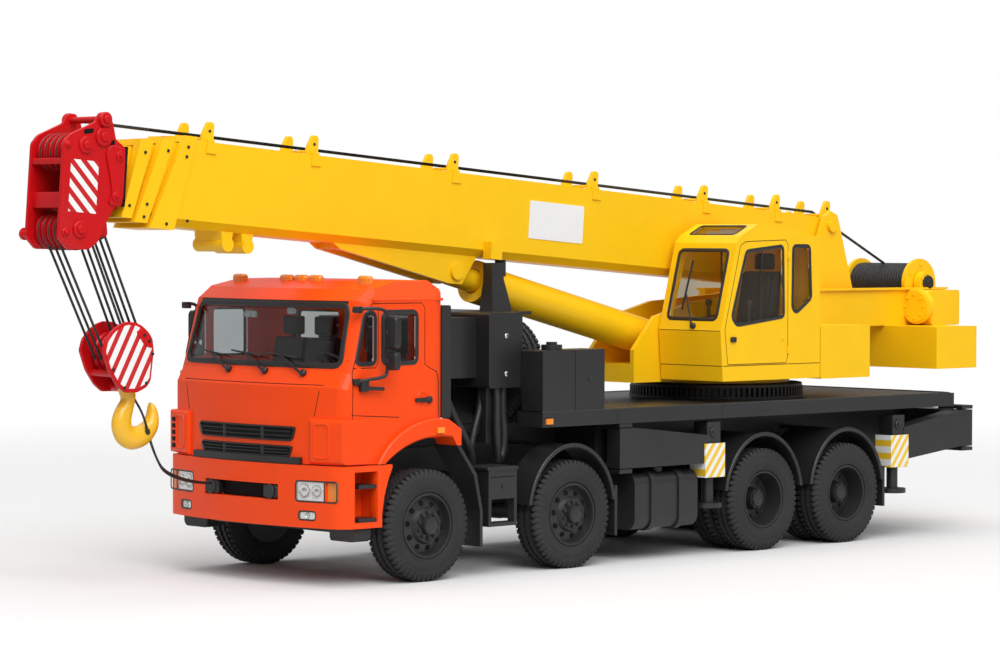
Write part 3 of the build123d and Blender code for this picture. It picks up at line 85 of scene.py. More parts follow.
class Board:
    """A material's node tree, with short calls that add nodes and join them."""

    def __init__(self, name: str) -> None:
        """Starts a material with its principled shader."""
        self.material = bpy.data.materials.new(name)
        self.material.use_nodes = True
        self.tree = self.material.node_tree
        self.shader = self.tree.nodes["Principled BSDF"]

    def node(self, kind: str, **settings: object) -> bpy.types.Node:
        """Adds a node.

        Args:
            kind: The node's type.
            settings: Attributes to set on it.

        Returns:
            The new node.
        """
        made = self.tree.nodes.new(kind)
        for key, value in settings.items():
            setattr(made, key, value)
        return made

    def join(self, source: bpy.types.NodeSocket, target: bpy.types.NodeSocket) -> None:
        """Links two sockets."""
        self.tree.links.new(source, target)

    def place(self) -> bpy.types.NodeSocket:
        """Returns the Object coordinates, which are metres in the shared frame."""
        return self.node("ShaderNodeTexCoord").outputs["Object"]

    def noise(self, place: bpy.types.NodeSocket, scale: float, detail: float = 3.0) -> bpy.types.NodeSocket:
        """Adds a noise pattern and returns its value.

        Args:
            place: The coordinates that it reads.
            scale: Cells per metre.
            detail: Number of finer layers.

        Returns:
            The socket of the noise's value, about one half on average.
        """
        made = self.node("ShaderNodeTexNoise")
        made.inputs["Scale"].default_value = scale
        made.inputs["Detail"].default_value = detail
        self.join(place, made.inputs["Vector"])
        return made.outputs["Fac"]

    def between(self, value: bpy.types.NodeSocket, low: float, high: float) -> bpy.types.NodeSocket:
        """Stretches the middle of a noise to the range from low to high."""
        made = self.node("ShaderNodeMapRange")
        made.inputs["From Min"].default_value = 0.3
        made.inputs["From Max"].default_value = 0.7
        made.inputs["To Min"].default_value = low
        made.inputs["To Max"].default_value = high
        self.join(value, made.inputs["Value"])
        return made.outputs["Result"]

    def blend(self, factor: bpy.types.NodeSocket, first: Colour, second: Colour) -> bpy.types.NodeSocket:
        """Mixes two colours by a factor and returns the colour's socket."""
        made = self.node("ShaderNodeMix", data_type="RGBA")
        made.inputs[6].default_value = (*first, 1.0)
        made.inputs[7].default_value = (*second, 1.0)
        self.join(factor, made.inputs[0])
        return made.outputs[2]

    def relief(self, height: bpy.types.NodeSocket, depth: float, strength: float = 0.6) -> None:
        """Turns a height into bump on the shader's normal, with its depth in millimetres."""
        made = self.node("ShaderNodeBump")
        made.inputs["Strength"].default_value = strength
        made.inputs["Distance"].default_value = depth * MM
        self.join(height, made.inputs["Height"])
        self.join(made.outputs["Normal"], self.shader.inputs["Normal"])

    def bands(self, place: bpy.types.NodeSocket, direction: Sequence[float], pitch: float,
              phase: float) -> bpy.types.NodeSocket:
        """Counts bands across a direction: the fraction of (place . direction) / pitch + phase.

        Args:
            place: The coordinates, in metres.
            direction: A unit vector square to the bands.
            pitch: Width of one pair of bands in millimetres.
            phase: Share of a pitch by which the bands are moved.

        Returns:
            A value that climbs from nought to one over each pitch.
        """
        dot = self.node("ShaderNodeVectorMath", operation="DOT_PRODUCT")
        dot.inputs[1].default_value = [part / (pitch * MM) for part in direction]
        self.join(place, dot.inputs[0])
        moved = self.node("ShaderNodeMath", operation="ADD")
        moved.inputs[1].default_value = phase
        self.join(dot.outputs["Value"], moved.inputs[0])
        cut = self.node("ShaderNodeMath", operation="FRACT")
        self.join(moved.outputs[0], cut.inputs[0])
        return cut.outputs[0]


def tinted(colour: Colour, share: float) -> Colour:
    """Returns a colour made lighter or darker by a share, kept below one."""
    return tuple(float(min(0.98, part * share)) for part in colour)


@dataclass(frozen=True)
class Finish:
    """A painted or moulded finish, with mottled colour, uneven gloss and a fine relief."""

    name: str
    colour: Colour
    roughness: float
    # Share of darkening and lightening: random mottle in plain finishes, painted shade and highlight across
    # reeds.
    mottle_and_reed_shade: float = 0.05
    grain: float = 900.0
    depth: float = 0.008
    uneven: float = 0.06
    coat: float = 0.0
    metal: float = 0.0
    level: float = 0.5
    bump: float = 0.5

    def material(self) -> bpy.types.Material:
        """Returns the finish's material, made on its first use."""
        found = bpy.data.materials.get(self.name)
        if found is not None:
            return found
        board = Board(self.name)
        self.fill(board)
        return board.material

    def fill(self, board: Board) -> None:
        """Lays the nodes: broad noise tints the colour, fine noise moves the gloss and the relief."""
        place = board.place()
        broad = board.noise(place, self.grain * 0.06, 4.0)
        fine = board.noise(place, self.grain)
        board.join(self.tint(board, place, broad), board.shader.inputs["Base Color"])
        self.gloss(board, fine)
        board.relief(fine, self.depth, self.bump)

    def tint(self, board: Board, place: bpy.types.NodeSocket,
             broad: bpy.types.NodeSocket) -> bpy.types.NodeSocket:
        """Returns the colour's socket: two tints of the colour mixed by the broad noise."""
        return self.mottled(board, board.between(broad, 0.0, 1.0))

    def mottled(self, board: Board, factor: bpy.types.NodeSocket) -> bpy.types.NodeSocket:
        """Returns the socket of a darker and a lighter tint of the colour, mixed by a factor."""
        return board.blend(factor, tinted(self.colour, 1 - self.mottle_and_reed_shade),
                           tinted(self.colour, 1 + self.mottle_and_reed_shade))

    def gloss(self, board: Board, fine: bpy.types.NodeSocket) -> None:
        """Sets the gloss: roughness moves with the fine noise, and the rest are plain numbers."""
        low = max(0.02, self.roughness - self.uneven)
        board.join(board.between(fine, low, self.roughness + self.uneven), board.shader.inputs["Roughness"])
        board.shader.inputs["Metallic"].default_value = self.metal
        board.shader.inputs["Specular IOR Level"].default_value = self.level
        board.shader.inputs["Coat Weight"].default_value = self.coat
        board.shader.inputs["Coat Roughness"].default_value = 0.12


@dataclass(frozen=True)
class Striped(Finish):
    """A painted plate with slanted bands of two colours."""

    second: Colour = (0.9, 0.9, 0.9)
    across: tuple[float, float, float] = (0.7071, 0.0, -0.7071)
    pitch: float = 2.2
    share: float = 0.5
    phase: float = 0.0

    def tint(self, board: Board, place: bpy.types.NodeSocket,
             broad: bpy.types.NodeSocket) -> bpy.types.NodeSocket:
        """Returns the bands' colour: the second colour where the band's count is below its share."""
        count = board.bands(place, self.across, self.pitch, self.phase)
        pick = board.node("ShaderNodeMath", operation="LESS_THAN")
        pick.inputs[1].default_value = self.share
        board.join(count, pick.inputs[0])
        return board.blend(pick.outputs[0], self.colour, self.second)


@dataclass(frozen=True)
class Reeded(Finish):
    """A reeded lens or a laid rope, whose lines show as relief and as bands of painted shade and highlight.
    """

    across: tuple[float, float, float] = (0.0, 1.0, 0.0)
    pitch: float = 0.55
    clear: float = 0.0

    def fill(self, board: Board) -> None:
        """Lays the nodes: the reeds' count, from nought to one, gives the relief and painted shade to
        highlight.
        """
        place = board.place()
        count = board.bands(place, self.across, self.pitch, 0.0)
        fine = board.noise(place, self.grain)
        # Painted shade and highlight: a darker to a lighter copy of the colour across each reed or strand,
        # in step with its relief.
        board.join(self.mottled(board, count), board.shader.inputs["Base Color"])
        self.gloss(board, fine)
        board.shader.inputs["Transmission Weight"].default_value = self.clear
        board.relief(count, self.depth, 0.8)


@dataclass(frozen=True)
class Glazing(Finish):
    """Clear tinted glass with faint smears in its gloss."""

    bend: float = 1.25

    def fill(self, board: Board) -> None:
        """Lays the nodes: broad noise tints the glass, fine noise smears its gloss."""
        place = board.place()
        broad = board.noise(place, self.grain * 0.06, 2.0)
        mixed = self.mottled(board, board.between(broad, 0.0, 1.0))
        board.join(mixed, board.shader.inputs["Base Color"])
        fine = board.noise(place, self.grain)
        board.join(board.between(fine, 0.0, self.roughness), board.shader.inputs["Roughness"])
        board.shader.inputs["Transmission Weight"].default_value = 1.0
        board.shader.inputs["IOR"].default_value = self.bend


ORANGE = Finish("orange_paint_finish", (0.95, 0.07, 0.004), 0.36, 0.02, 2600.0, 0.001, 0.03, 0.12, 0.0,
                0.18, 0.1)
YELLOW = Finish("yellow_paint_finish", (0.96, 0.56, 0.006), 0.38, 0.02, 2600.0, 0.001, 0.03, 0.1, 0.0, 0.2,
                0.1)
RED = Finish("red_paint_finish", (0.57, 0.005, 0.008), 0.34, 0.03, 2600.0, 0.001, 0.03, 0.12, 0.0, 0.2, 0.1)
CHASSIS = Finish("chassis_black_finish", (0.017, 0.017, 0.018), 0.42, 0.14, 1800.0, 0.006, 0.07)
DECK = Finish("deck_black_finish", (0.016, 0.016, 0.017), 0.36, 0.12, 1500.0, 0.005, 0.08)
TRIM = Finish("trim_black_finish", (0.013, 0.013, 0.014), 0.46, 0.14, 2200.0, 0.006, 0.07)
WHEEL = Finish("wheel_black_finish", (0.018, 0.018, 0.019), 0.4, 0.12, 2000.0, 0.005, 0.06)
RUBBER = Finish("tyre_rubber_finish", (0.024, 0.024, 0.025), 0.72, 0.18, 1600.0, 0.014, 0.08, 0.0, 0.0,
                0.35)
DARK = Finish("interior_black_finish", (0.03, 0.03, 0.032), 0.62, 0.12, 1200.0, 0.003, 0.06)
SILVER = Finish("mirror_grey_finish", (0.32, 0.33, 0.34), 0.3, 0.08, 1500.0, 0.002, 0.05, 0.0, 0.7)
# Painted shade: this near-black stands in the shade of holes, slots and openings; on the box seams and head
# seals it is dark joints.
SHADE = Finish("painted_shade_and_joint_black_finish", (0.004, 0.004, 0.004), 0.8, 0.2, 1500.0, 0.01, 0.05, 0.0, 0.0, 0.2)
LINE = Finish("seam_line_finish", (0.03, 0.008, 0.004), 0.75, 0.15, 1500.0, 0.004, 0.05, 0.0, 0.0, 0.2)
OCHRE_LINE = Finish("ochre_seam_finish", (0.16, 0.075, 0.006), 0.7, 0.15, 1500.0, 0.004, 0.05, 0.0, 0.0,
                    0.2)
STEEL = Finish("screw_steel_finish", (0.62, 0.62, 0.6), 0.28, 0.08, 3000.0, 0.004, 0.06, 0.0, 1.0)
WHITE = Finish("sign_white_finish", (0.84, 0.84, 0.83), 0.42, 0.03, 1500.0, 0.003, 0.05)
HOOK = Finish("hook_yellow_finish", (0.9, 0.5, 0.016), 0.34, 0.04, 2200.0, 0.006, 0.06, 0.3)
# In the reeded finishes the fourth number is the depth of painted shade and highlight across each strand or
# reed.
ROPE = Reeded("rope_black_finish", (0.014, 0.014, 0.014), 0.6, 0.35, 2600.0, 0.05, 0.06,
              across=(0.577, 0.577, 0.577), pitch=0.7)
CLEAR_LAMP = Reeded("lamp_clear_finish", (0.72, 0.73, 0.72), 0.14, 0.2, 1500.0, 0.05, 0.04, 0.5, 0.35)
AMBER_LAMP = Reeded("lamp_amber_finish", (0.86, 0.24, 0.012), 0.2, 0.25, 1500.0, 0.05, 0.04, 0.5)
RED_LAMP = Reeded("lamp_red_finish", (0.6, 0.014, 0.01), 0.2, 0.25, 1500.0, 0.05, 0.04, 0.5)
CAB_GLASS = Glazing("cab_glass_finish", (0.8, 0.83, 0.83), 0.04, 0.03)
CRANE_GLASS = Glazing("crane_glass_finish", (0.92, 0.86, 0.74), 0.04, 0.04)
HEAD_STRIPES = Striped("head_stripe_finish", RED.colour, 0.36, 0.03, 2000.0, 0.003, 0.05, 0.2, 0.0, 0.5,
                       0.1, (0.88, 0.88, 0.87), (0.7313, 0.0, -0.682), 2.2, 0.52, 0.3)
BLOCK_STRIPES = Striped("block_stripe_finish", RED.colour, 0.36, 0.03, 2000.0, 0.003, 0.05, 0.2, 0.0, 0.5,
                        0.1, (0.88, 0.88, 0.87), (0.877, 0.0, 0.48), 2.35, 0.55, 0.1)
JACK_STRIPES = Striped("jack_stripe_finish", (0.9, 0.56, 0.03), 0.4, 0.03, 2000.0, 0.003, 0.05, 0.2, 0.0,
                       0.5, 0.1, (0.88, 0.88, 0.85), (0.776, 0.0, 0.63), 1.93, 0.5, 0.2)


@dataclass
class Shape:
    """A surface's points and the faces that join them."""

    points: np.ndarray
    faces: list[tuple[int, ...]]

    def copies(self, offsets: np.ndarray) -> "Shape":
        """Repeats the shape at each of a set of offsets, as one array sum.

        Args:
            offsets: The moves, one row each.

        Returns:
            All the copies as one shape.
        """
        offsets = np.atleast_2d(np.asarray(offsets, float))
        points = (offsets[:, None, :] + self.points[None]).reshape(-1, 3)
        step = len(self.points)
        turns = range(len(offsets))
        faces = [tuple(corner + step * turn for corner in face) for turn in turns for face in self.faces]
        return Shape(points, faces)

    def mirrored(self) -> "Shape":
        """Returns the mirror image across the vehicle's middle plane."""
        return Shape(self.points * np.array([1.0, -1.0, 1.0]), self.faces)


def gathered(shapes: Sequence[Shape]) -> Shape:
    """Puts several shapes into one, with their faces renumbered."""
    starts = np.cumsum([0] + [len(shape.points) for shape in shapes])
    faces = [tuple(corner + int(start) for corner in face)
             for start, shape in zip(starts, shapes) for face in shape.faces]
    return Shape(np.vstack([shape.points for shape in shapes]), faces)


def paired(shapes: Sequence[Shape]) -> list[Shape]:
    """Returns the shapes and their mirror images."""
    return list(shapes) + [shape.mirrored() for shape in shapes]


def unit(vectors: np.ndarray) -> np.ndarray:
    """Scales vectors to a length of one."""
    return vectors / np.linalg.norm(vectors, axis=-1, keepdims=True)


def grid(points: np.ndarray, wrap_rows: bool = False, wrap_columns: bool = False,
         caps: bool = False) -> Shape:
    """Makes a surface of four-sided faces from rows and columns of points.

    Args:
        points: An array of rows, columns and coordinates.
        wrap_rows: Whether the last row joins the first.
        wrap_columns: Whether the last column joins the first.
        caps: Whether the first and last rows are closed by a face each.

    Returns:
        The surface.
    """
    rows, columns = points.shape[:2]
    index = np.arange(rows * columns).reshape(rows, columns)
    first, last = tuple(index[0].tolist()), tuple(index[-1].tolist())
    if wrap_rows:
        index = np.vstack([index, index[:1]])
    if wrap_columns:
        index = np.hstack([index, index[:, :1]])
    quads = np.stack([index[:-1, :-1], index[1:, :-1], index[1:, 1:], index[:-1, 1:]], -1).reshape(-1, 4)
    faces = [tuple(face) for face in quads.tolist()]
    if caps:
        faces += [first[::-1], last]
    return Shape(points.reshape(-1, 3), faces)


def square_axes(axis: Sequence[float]) -> tuple[np.ndarray, np.ndarray, np.ndarray]:
    """Returns an axis as a unit vector, and two unit vectors square to it and to each other."""
    along = unit(np.asarray(axis, float))
    helper = np.eye(3)[int(np.argmin(np.abs(along)))]
    first = unit(np.cross(along, helper))
    return along, first, np.cross(along, first)


def lathe(profile: Points, centre: Sequence[float], axis: Sequence[float], segments: int = 32,
          closed: bool = False, start: float = 0.0) -> Shape:
    """Turns a profile about an axis.

    A point is the centre, plus its distance along the axis, plus its radius times (cos a, sin a) in the
    square axes.

    Args:
        profile: Rows of (distance along the axis, radius).
        centre: The point that distances are counted from.
        axis: The axis's direction.
        segments: Number of steps round the axis.
        closed: Whether the profile is a loop; if not, its ends are capped.
        start: Angle of the first step.

    Returns:
        The turned surface.
    """
    along, first, second = square_axes(axis)
    rows = np.asarray(profile, float)
    angle = start + np.arange(segments) * TURN / segments
    ring = np.cos(angle)[:, None] * first + np.sin(angle)[:, None] * second
    middle = np.asarray(centre, float) + rows[:, 0, None, None] * along
    points = middle + rows[:, 1, None, None] * ring[None]
    return grid(points, closed, True, not closed)


def tube(path: Points, wide: Width, high: Optional[Width] = None, up: Optional[Direction] = None,
         sides: int = 8, closed: bool = False) -> Shape:
    """Carries an oval along a path.

    A point is the path, plus the half width times cos a sideways, plus the half height times sin a upwards.

    Args:
        path: Rows of points.
        wide: Half the width across the path, one or one for each point.
        high: Half the height; the same as the width if left out.
        up: The upward direction, one or one for each point.
        sides: Number of steps round the oval.
        closed: Whether the path is a loop.

    Returns:
        The tube's surface.
    """
    line = np.asarray(path, float)
    ahead = np.roll(line, -1, 0) - np.roll(line, 1, 0)
    if not closed:
        ahead[0] = line[1] - line[0]
        ahead[-1] = line[-1] - line[-2]
    along = unit(ahead)
    if up is None:
        up = np.eye(3)[int(np.argmin(np.abs(along).max(0)))]
    rise_hint = np.broadcast_to(np.asarray(up, float), line.shape)
    across = unit(np.cross(along, rise_hint))
    rise = np.cross(across, along)
    angle = np.arange(sides) * TURN / sides
    half_wide = np.broadcast_to(np.asarray(wide, float), len(line))[:, None, None]
    half_high = half_wide
    if high is not None:
        half_high = np.broadcast_to(np.asarray(high, float), len(line))[:, None, None]
    ring = (half_wide * np.cos(angle)[None, :, None] * across[:, None]
            + half_high * np.sin(angle)[None, :, None] * rise[:, None])
    return grid(line[:, None] + ring, closed, True, not closed)


def dense(path: Points, step: float, closed: bool = False) -> np.ndarray:
    """Lays evenly spaced points along a path by its running length.

    Args:
        path: Rows of points, in two or three coordinates.
        step: Distance between the new points.
        closed: Whether the path is a loop.

    Returns:
        The new points.
    """
    line = np.asarray(path, float)
    if closed:
        line = np.vstack([line, line[:1]])
    run = np.concatenate([[0.0], np.cumsum(np.linalg.norm(np.diff(line, axis=0), axis=1))])
    at = np.linspace(0.0, run[-1], max(3, int(np.ceil(run[-1] / step)) + 1))
    spread = np.stack([np.interp(at, run, line[:, axis]) for axis in range(line.shape[1])], -1)
    return spread[:-1] if closed else spread


def rectangle(left: float, low: float, right: float, high: float) -> Points:
    """Returns a rectangle's corners, from the first one round by its low side."""
    return (left, low), (right, low), (right, high), (left, high)


def rounded(outline: Points, radius: float, steps: int = 5) -> np.ndarray:
    """Rounds an outline's corners: a point is (1-t)^2 a + 2t(1-t) corner + t^2 b, a and b on the edges.

    Args:
        outline: The corners of a closed outline, as rows of two coordinates.
        radius: Distance from a corner at which its curve starts.
        steps: Number of points on each corner.

    Returns:
        The rounded outline.
    """
    corner = np.asarray(outline, float)
    before = corner + radius * unit(np.roll(corner, 1, 0) - corner)
    after = corner + radius * unit(np.roll(corner, -1, 0) - corner)
    share = np.linspace(0.0, 1.0, steps)[None, :, None]
    curve = ((1 - share) ** 2 * before[:, None] + 2 * share * (1 - share) * corner[:, None]
             + share ** 2 * after[:, None])
    return curve.reshape(-1, corner.shape[1])


@dataclass(frozen=True)
class Placing:
    """A flat frame in space: an origin and three directions."""

    origin: tuple[float, float, float]
    first: tuple[float, float, float]
    second: tuple[float, float, float]
    third: tuple[float, float, float]

    def put(self, points: Points) -> np.ndarray:
        """Returns points of this frame, of two or three coordinates, as points of the vehicle."""
        rows = np.asarray(points, float)
        axes = np.array([self.first, self.second, self.third])[:rows.shape[-1]]
        return np.asarray(self.origin) + rows @ axes

    def prism(self, outline: Points, low: float, high: float, rim: float = 0.0) -> Shape:
        """Carries an outline along the third direction, with its two edges drawn in by a rim.

        Args:
            outline: The closed outline.
            low: Where it starts.
            high: Where it ends.
            rim: Size of the slanted edge at both ends.

        Returns:
            The closed solid's surface.
        """
        flat = np.asarray(outline, float)
        middle = flat.mean(0)
        size = np.linalg.norm(flat - middle, axis=1).mean()
        small = middle + (flat - middle) * (1 - rim / size)
        levels = ((small, low), (flat, low + rim), (flat, high - rim), (small, high)) if rim else (
            (flat, low), (flat, high))
        rows = [self.put(np.column_stack([ring, np.full(len(ring), level)])) for ring, level in levels]
        return grid(np.stack(rows), False, True, True)


def turned_frame(origin: Sequence[float], degrees: float) -> Placing:
    """Returns a side frame turned nose up by an angle: first axis forward, second up, third to the left."""
    angle = np.radians(degrees)
    ahead = (float(np.cos(angle)), 0.0, float(np.sin(angle)))
    up = (-ahead[2], 0.0, ahead[0])
    return Placing(tuple(float(part) for part in origin), ahead, up, (0.0, 1.0, 0.0))


SIDE_VIEW = turned_frame((0.0, 0.0, 0.0), 0.0)
FRONT_VIEW = Placing((0.0, 0.0, 0.0), (0.0, 1.0, 0.0), (0.0, 0.0, 1.0), (1.0, 0.0, 0.0))
BOOM_VIEW = turned_frame((-153.2, 0.0, 74.8), 4.27)
HOOK_VIEW = turned_frame(BOOM_VIEW.put([226.0, -18.6]), -27.5)


def boss(centre: Sequence[float], axis: Sequence[float], radius: float, height: float, edge: float = 0.12,
         segments: int = 24) -> Shape:
    """Returns a round boss with a slanted edge, standing on a face."""
    return lathe([(-0.1, radius), (height - edge, radius), (height, radius - edge)], centre, axis, segments)


def nut(axis: Sequence[float], radius: float, height: float) -> Shape:
    """Returns a six-sided nut with a round end, to be copied to its places."""
    middle = (0, 0, 0)
    flat = lathe([(-0.05, radius), (0.6 * height, radius), (0.7 * height, 0.86 * radius)], middle, axis, 6)
    end = lathe([(0.6 * height, 0.55 * radius), (height, 0.5 * radius)], middle, axis, 8)
    return gathered([flat, end])


def grooved_wheel(centre: Sequence[float], radius: float, half: float, mouth: float, floor: float) -> Shape:
    """Returns a sheave that turns about a line across the vehicle.

    Args:
        centre: Its middle.
        radius: Its rim's radius.
        half: Half its width.
        mouth: Half the width of the groove at the rim.
        floor: Half the width of the groove's floor.

    Returns:
        The sheave's surface.
    """
    depth = radius - 0.45
    rim = [(-half, 1.0), (-half, radius), (-mouth, radius), (-floor, depth), (floor, depth),
           (mouth, radius), (half, radius), (half, 1.0)]
    return lathe(rim, centre, ACROSS, 40)


def circle_places(centre: Sequence[float], axis: Sequence[float], radius: float, count: int,
                  start: float = 0.0) -> np.ndarray:
    """Returns points evenly spaced round an axis."""
    _, first, second = square_axes(axis)
    angle = start + np.arange(count) * TURN / count
    around = np.cos(angle)[:, None] * first + np.sin(angle)[:, None] * second
    return np.asarray(centre, float) + radius * around


@dataclass(frozen=True)
class Bridge:
    """A run that crosses a joint: the body at its far end, and the run's two ends."""

    body: str
    start: Sequence[float]
    end: Sequence[float]

    def carry(self, piece: bpy.types.Object, body: str) -> None:
        """Bakes the piece's place into its mesh; the piece is fixed to neither body."""
        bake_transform(piece)


def make(name: str, shapes: Sequence[Shape], finish: Finish, body: str,
         replaces: Sequence[str] = (), sharp: float = 38.0,
         bridge: Optional[Bridge] = None) -> bpy.types.Object:
    """Makes a piece from shapes, dresses it and fixes it to a body, unless it crosses a joint.

    Args:
        name: The piece's name.
        shapes: Its closed surfaces, in millimetres from the first axle.
        finish: What it is made of.
        body: The body that it rides on.
        replaces: Solids that it stands for.
        sharp: Angle in degrees past which an edge stays sharp.
        bridge: The body at the far end, for a piece that crosses a joint.

    Returns:
        The new object.
    """
    shape = gathered(shapes)
    mesh = bpy.data.meshes.new(name)
    mesh.from_pydata(((shape.points + FRONT_AXLE) * MM).tolist(), [], shape.faces)
    work = bmesh.new()
    work.from_mesh(mesh)
    bmesh.ops.remove_doubles(work, verts=work.verts, dist=1e-8)
    bmesh.ops.recalc_face_normals(work, faces=work.faces)
    work.to_mesh(mesh)
    work.free()
    mesh.polygons.foreach_set("use_smooth", np.ones(len(mesh.polygons), dtype=bool))
    mesh.set_sharp_from_angle(angle=float(np.radians(sharp)))
    mesh.materials.append(finish.material())
    piece = bpy.data.objects.new(name, mesh)
    bpy.context.scene.collection.objects.link(piece)
    if bridge is None:
        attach(piece, body)
    else:
        bridge.carry(piece, body)
    if replaces:
        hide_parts(*replaces)
    LOG.info("%s rides on %s, %d faces", name, body, len(mesh.polygons))
    return piece


@dataclass
class Tyres:
    """The tyres of one axle, with ribs, grooves and notched shoulders."""

    axle: int
    along: float
    bore: float
    width: float
    inner_faces: tuple[float, ...]
    radius: float = 11.75
    blocks: int = 54
    notch: float = 0.5
    groove: float = 0.55

    def half_profile(self) -> np.ndarray:
        """Returns rows of (across, radius, notched, wavy) from the bead to the middle of the tread."""
        half, top = self.width / 2, self.radius
        return np.array([
            (half - 0.6, self.bore, 0, 0), (half - 0.3, self.bore + 0.12, 0, 0),
            (half - 0.16, self.bore + 0.5, 0, 0), (half - 0.22, self.bore + 0.62, 0, 0),
            (half - 0.06, self.bore + 1.0, 0, 0),
            (half, self.bore + 1.7, 0, 0), (half, top - 2.35, 0, 0), (half - 0.07, top - 2.2, 0, 0),
            (half - 0.02, top - 2.05, 0, 0), (half - 0.1, top - 1.5, 0.15, 0),
            (half - 0.32, top - 0.8, 0.8, 0), (half - 0.62, top - 0.2, 1, 0), (half - 0.86, top, 1, 0),
            (half - 1.6, top, 1, 0),
            (half - 1.68, top - self.groove, 0, 1), (half - 2.02, top - self.groove, 0, 1),
            (half - 2.1, top, 0, 1), (0.42, top, 0, 1), (0.34, top - self.groove, 0, 1),
            (0.0, top - self.groove, 0, 1),
        ])

    def shape(self) -> Shape:
        """Returns one tyre about its own middle.

        A point's radius is the profile's less the notch's depth where the shoulder is cut, and its
        distance across is the profile's plus a small zigzag on the ribs.
        """
        half = self.half_profile()
        whole = np.vstack([half, half[-2::-1] * np.array([-1, 1, 1, 1])])
        step = np.array([0.0, 0.56, 0.66, 0.9])
        cut = np.array([0.0, 0.0, 1.0, 1.0])
        wave = np.array([-1.0, -1.0, 1.0, 1.0]) * 0.12
        angle = ((np.arange(self.blocks)[:, None] + step) * TURN / self.blocks).ravel()
        cut = np.tile(cut, self.blocks)
        wave = np.tile(wave, self.blocks)
        radius = whole[:, 1, None] - self.notch * whole[:, 2, None] * cut
        across = whole[:, 0, None] + whole[:, 3, None] * wave
        points = np.stack([radius * np.cos(angle), across, radius * np.sin(angle)], -1)
        return grid(points, True, True)

    def build(self) -> None:
        """Makes the axle's tyres as one piece."""
        middles = np.array([face + self.width / 2 for face in self.inner_faces])
        middles = np.concatenate([middles, -middles])
        offsets = np.column_stack([np.full(len(middles), self.along), middles,
                                   np.full(len(middles), self.radius)])
        make(f"tyres_{self.axle}", [self.shape().copies(offsets)], RUBBER, f"axle_{self.axle}",
             [f"axle_{self.axle}_tyres"])


@dataclass
class WheelTrim:
    """Nuts, rolled lips and the hand holes' painted shade on one axle's wheels."""

    axle: int
    along: float
    deep: bool
    face: float = 29.2
    height: float = 11.75
    nuts: int = 10

    def lip(self, inset: float, radius: float, wide: float, high: float) -> Shape:
        """Returns a rolled lip round the wheel, set in from its outer face."""
        loop = circle_places((self.along, self.face - inset, self.height), ACROSS, radius, 64)
        return tube(loop, wide, high, ACROSS, 8, True)

    def build(self) -> None:
        """Makes the wheels' fine pieces: bright edges in the wheel's black, and painted shade in the holes.
        """
        seat = self.face - 4.4 if self.deep else self.face - 0.4
        ring = 4.0 if self.deep else 2.66
        places = circle_places((self.along, seat, self.height), ACROSS, ring, self.nuts)
        shapes = [nut(ACROSS, 0.44, 0.62).copies(places)]
        shapes.append(self.lip(0.56, 6.3 if self.deep else 6.6, 0.26, 0.24))
        if self.deep:
            hub = (self.along, self.face - 2.4, self.height)
            shapes.append(lathe([(-0.1, 1.75), (0.35, 1.7), (0.5, 1.45), (0.5, 0.6)], hub, ACROSS, 32))
            shapes.append(nut(ACROSS, 0.24, 0.3).copies(circle_places(hub, ACROSS, 1.96, 8)))
            shapes.append(self.lip(4.3, 4.85, 0.2, 0.16))
        else:
            hub = (self.along, self.face + 0.6, self.height)
            shapes.append(lathe([(-0.1, 1.72), (0.12, 1.66), (0.2, 1.4), (0.2, 0.5)], hub, ACROSS, 8))
            shapes.append(self.lip(0.42, 3.32, 0.2, 0.14))
        make(f"wheel_nuts_{self.axle}", paired(shapes), WHEEL, f"axle_{self.axle}")
        # Painted shade: near-black discs stand in the hand holes, where only shade is seen.
        if not self.deep:
            slope = np.array([0.0, 0.968, 0.25])
            hole = lathe([(-0.05, 0.62), (0.07, 0.62)], (0, 0, 0), slope, 16)
            holes = []
            for turn in np.arange(self.nuts) * TURN / self.nuts + 0.2:
                spin = np.array([[np.cos(turn), 0, np.sin(turn)], [0, 1, 0],
                                 [-np.sin(turn), 0, np.cos(turn)]])
                centre = np.array([0.0, self.face - 1.5, 4.75])
                holes.append(Shape((hole.points + centre) @ spin.T + np.array([self.along, 0, self.height]),
                                   hole.faces))
            make(f"hand_holes_{self.axle}", paired(holes), SHADE, f"axle_{self.axle}")


@dataclass
class SpareWheel:
    """The spare wheel, standing across the vehicle behind the equipment box."""

    front: float = -35.5
    across: float = 9.6
    width: float = 6.7
    tyre_radius: float = 11.75
    deck_under: float = 30.95

    def build(self) -> None:
        """Makes the spare's tyre and its rim, turned to lie along the vehicle."""
        tyre = Tyres(0, 0.0, 6.9, self.width, ()).shape()
        centre = np.array([self.front - self.width / 2, self.across, self.deck_under + self.tyre_radius])
        lying = tyre.points[:, [1, 0, 2]] + centre
        rim = lathe([(-3.0, 6.9), (-2.9, 6.2), (-1.9, 5.6), (-1.4, 3.0), (-2.0, 2.6), (-2.0, 0.8)], centre,
                    ALONG, 40)
        back = lathe([(2.9, 6.9), (2.7, 6.3), (1.6, 5.6), (1.2, 3.4), (1.2, 0.8)], centre, ALONG, 40)
        bridge = lathe([(-2.9, 6.95), (2.9, 6.95)], centre, ALONG, 40)
        make("spare_tyre", [Shape(lying, tyre.faces), bridge, rim, back], RUBBER, "carrier",
             ["spare_wheel"])


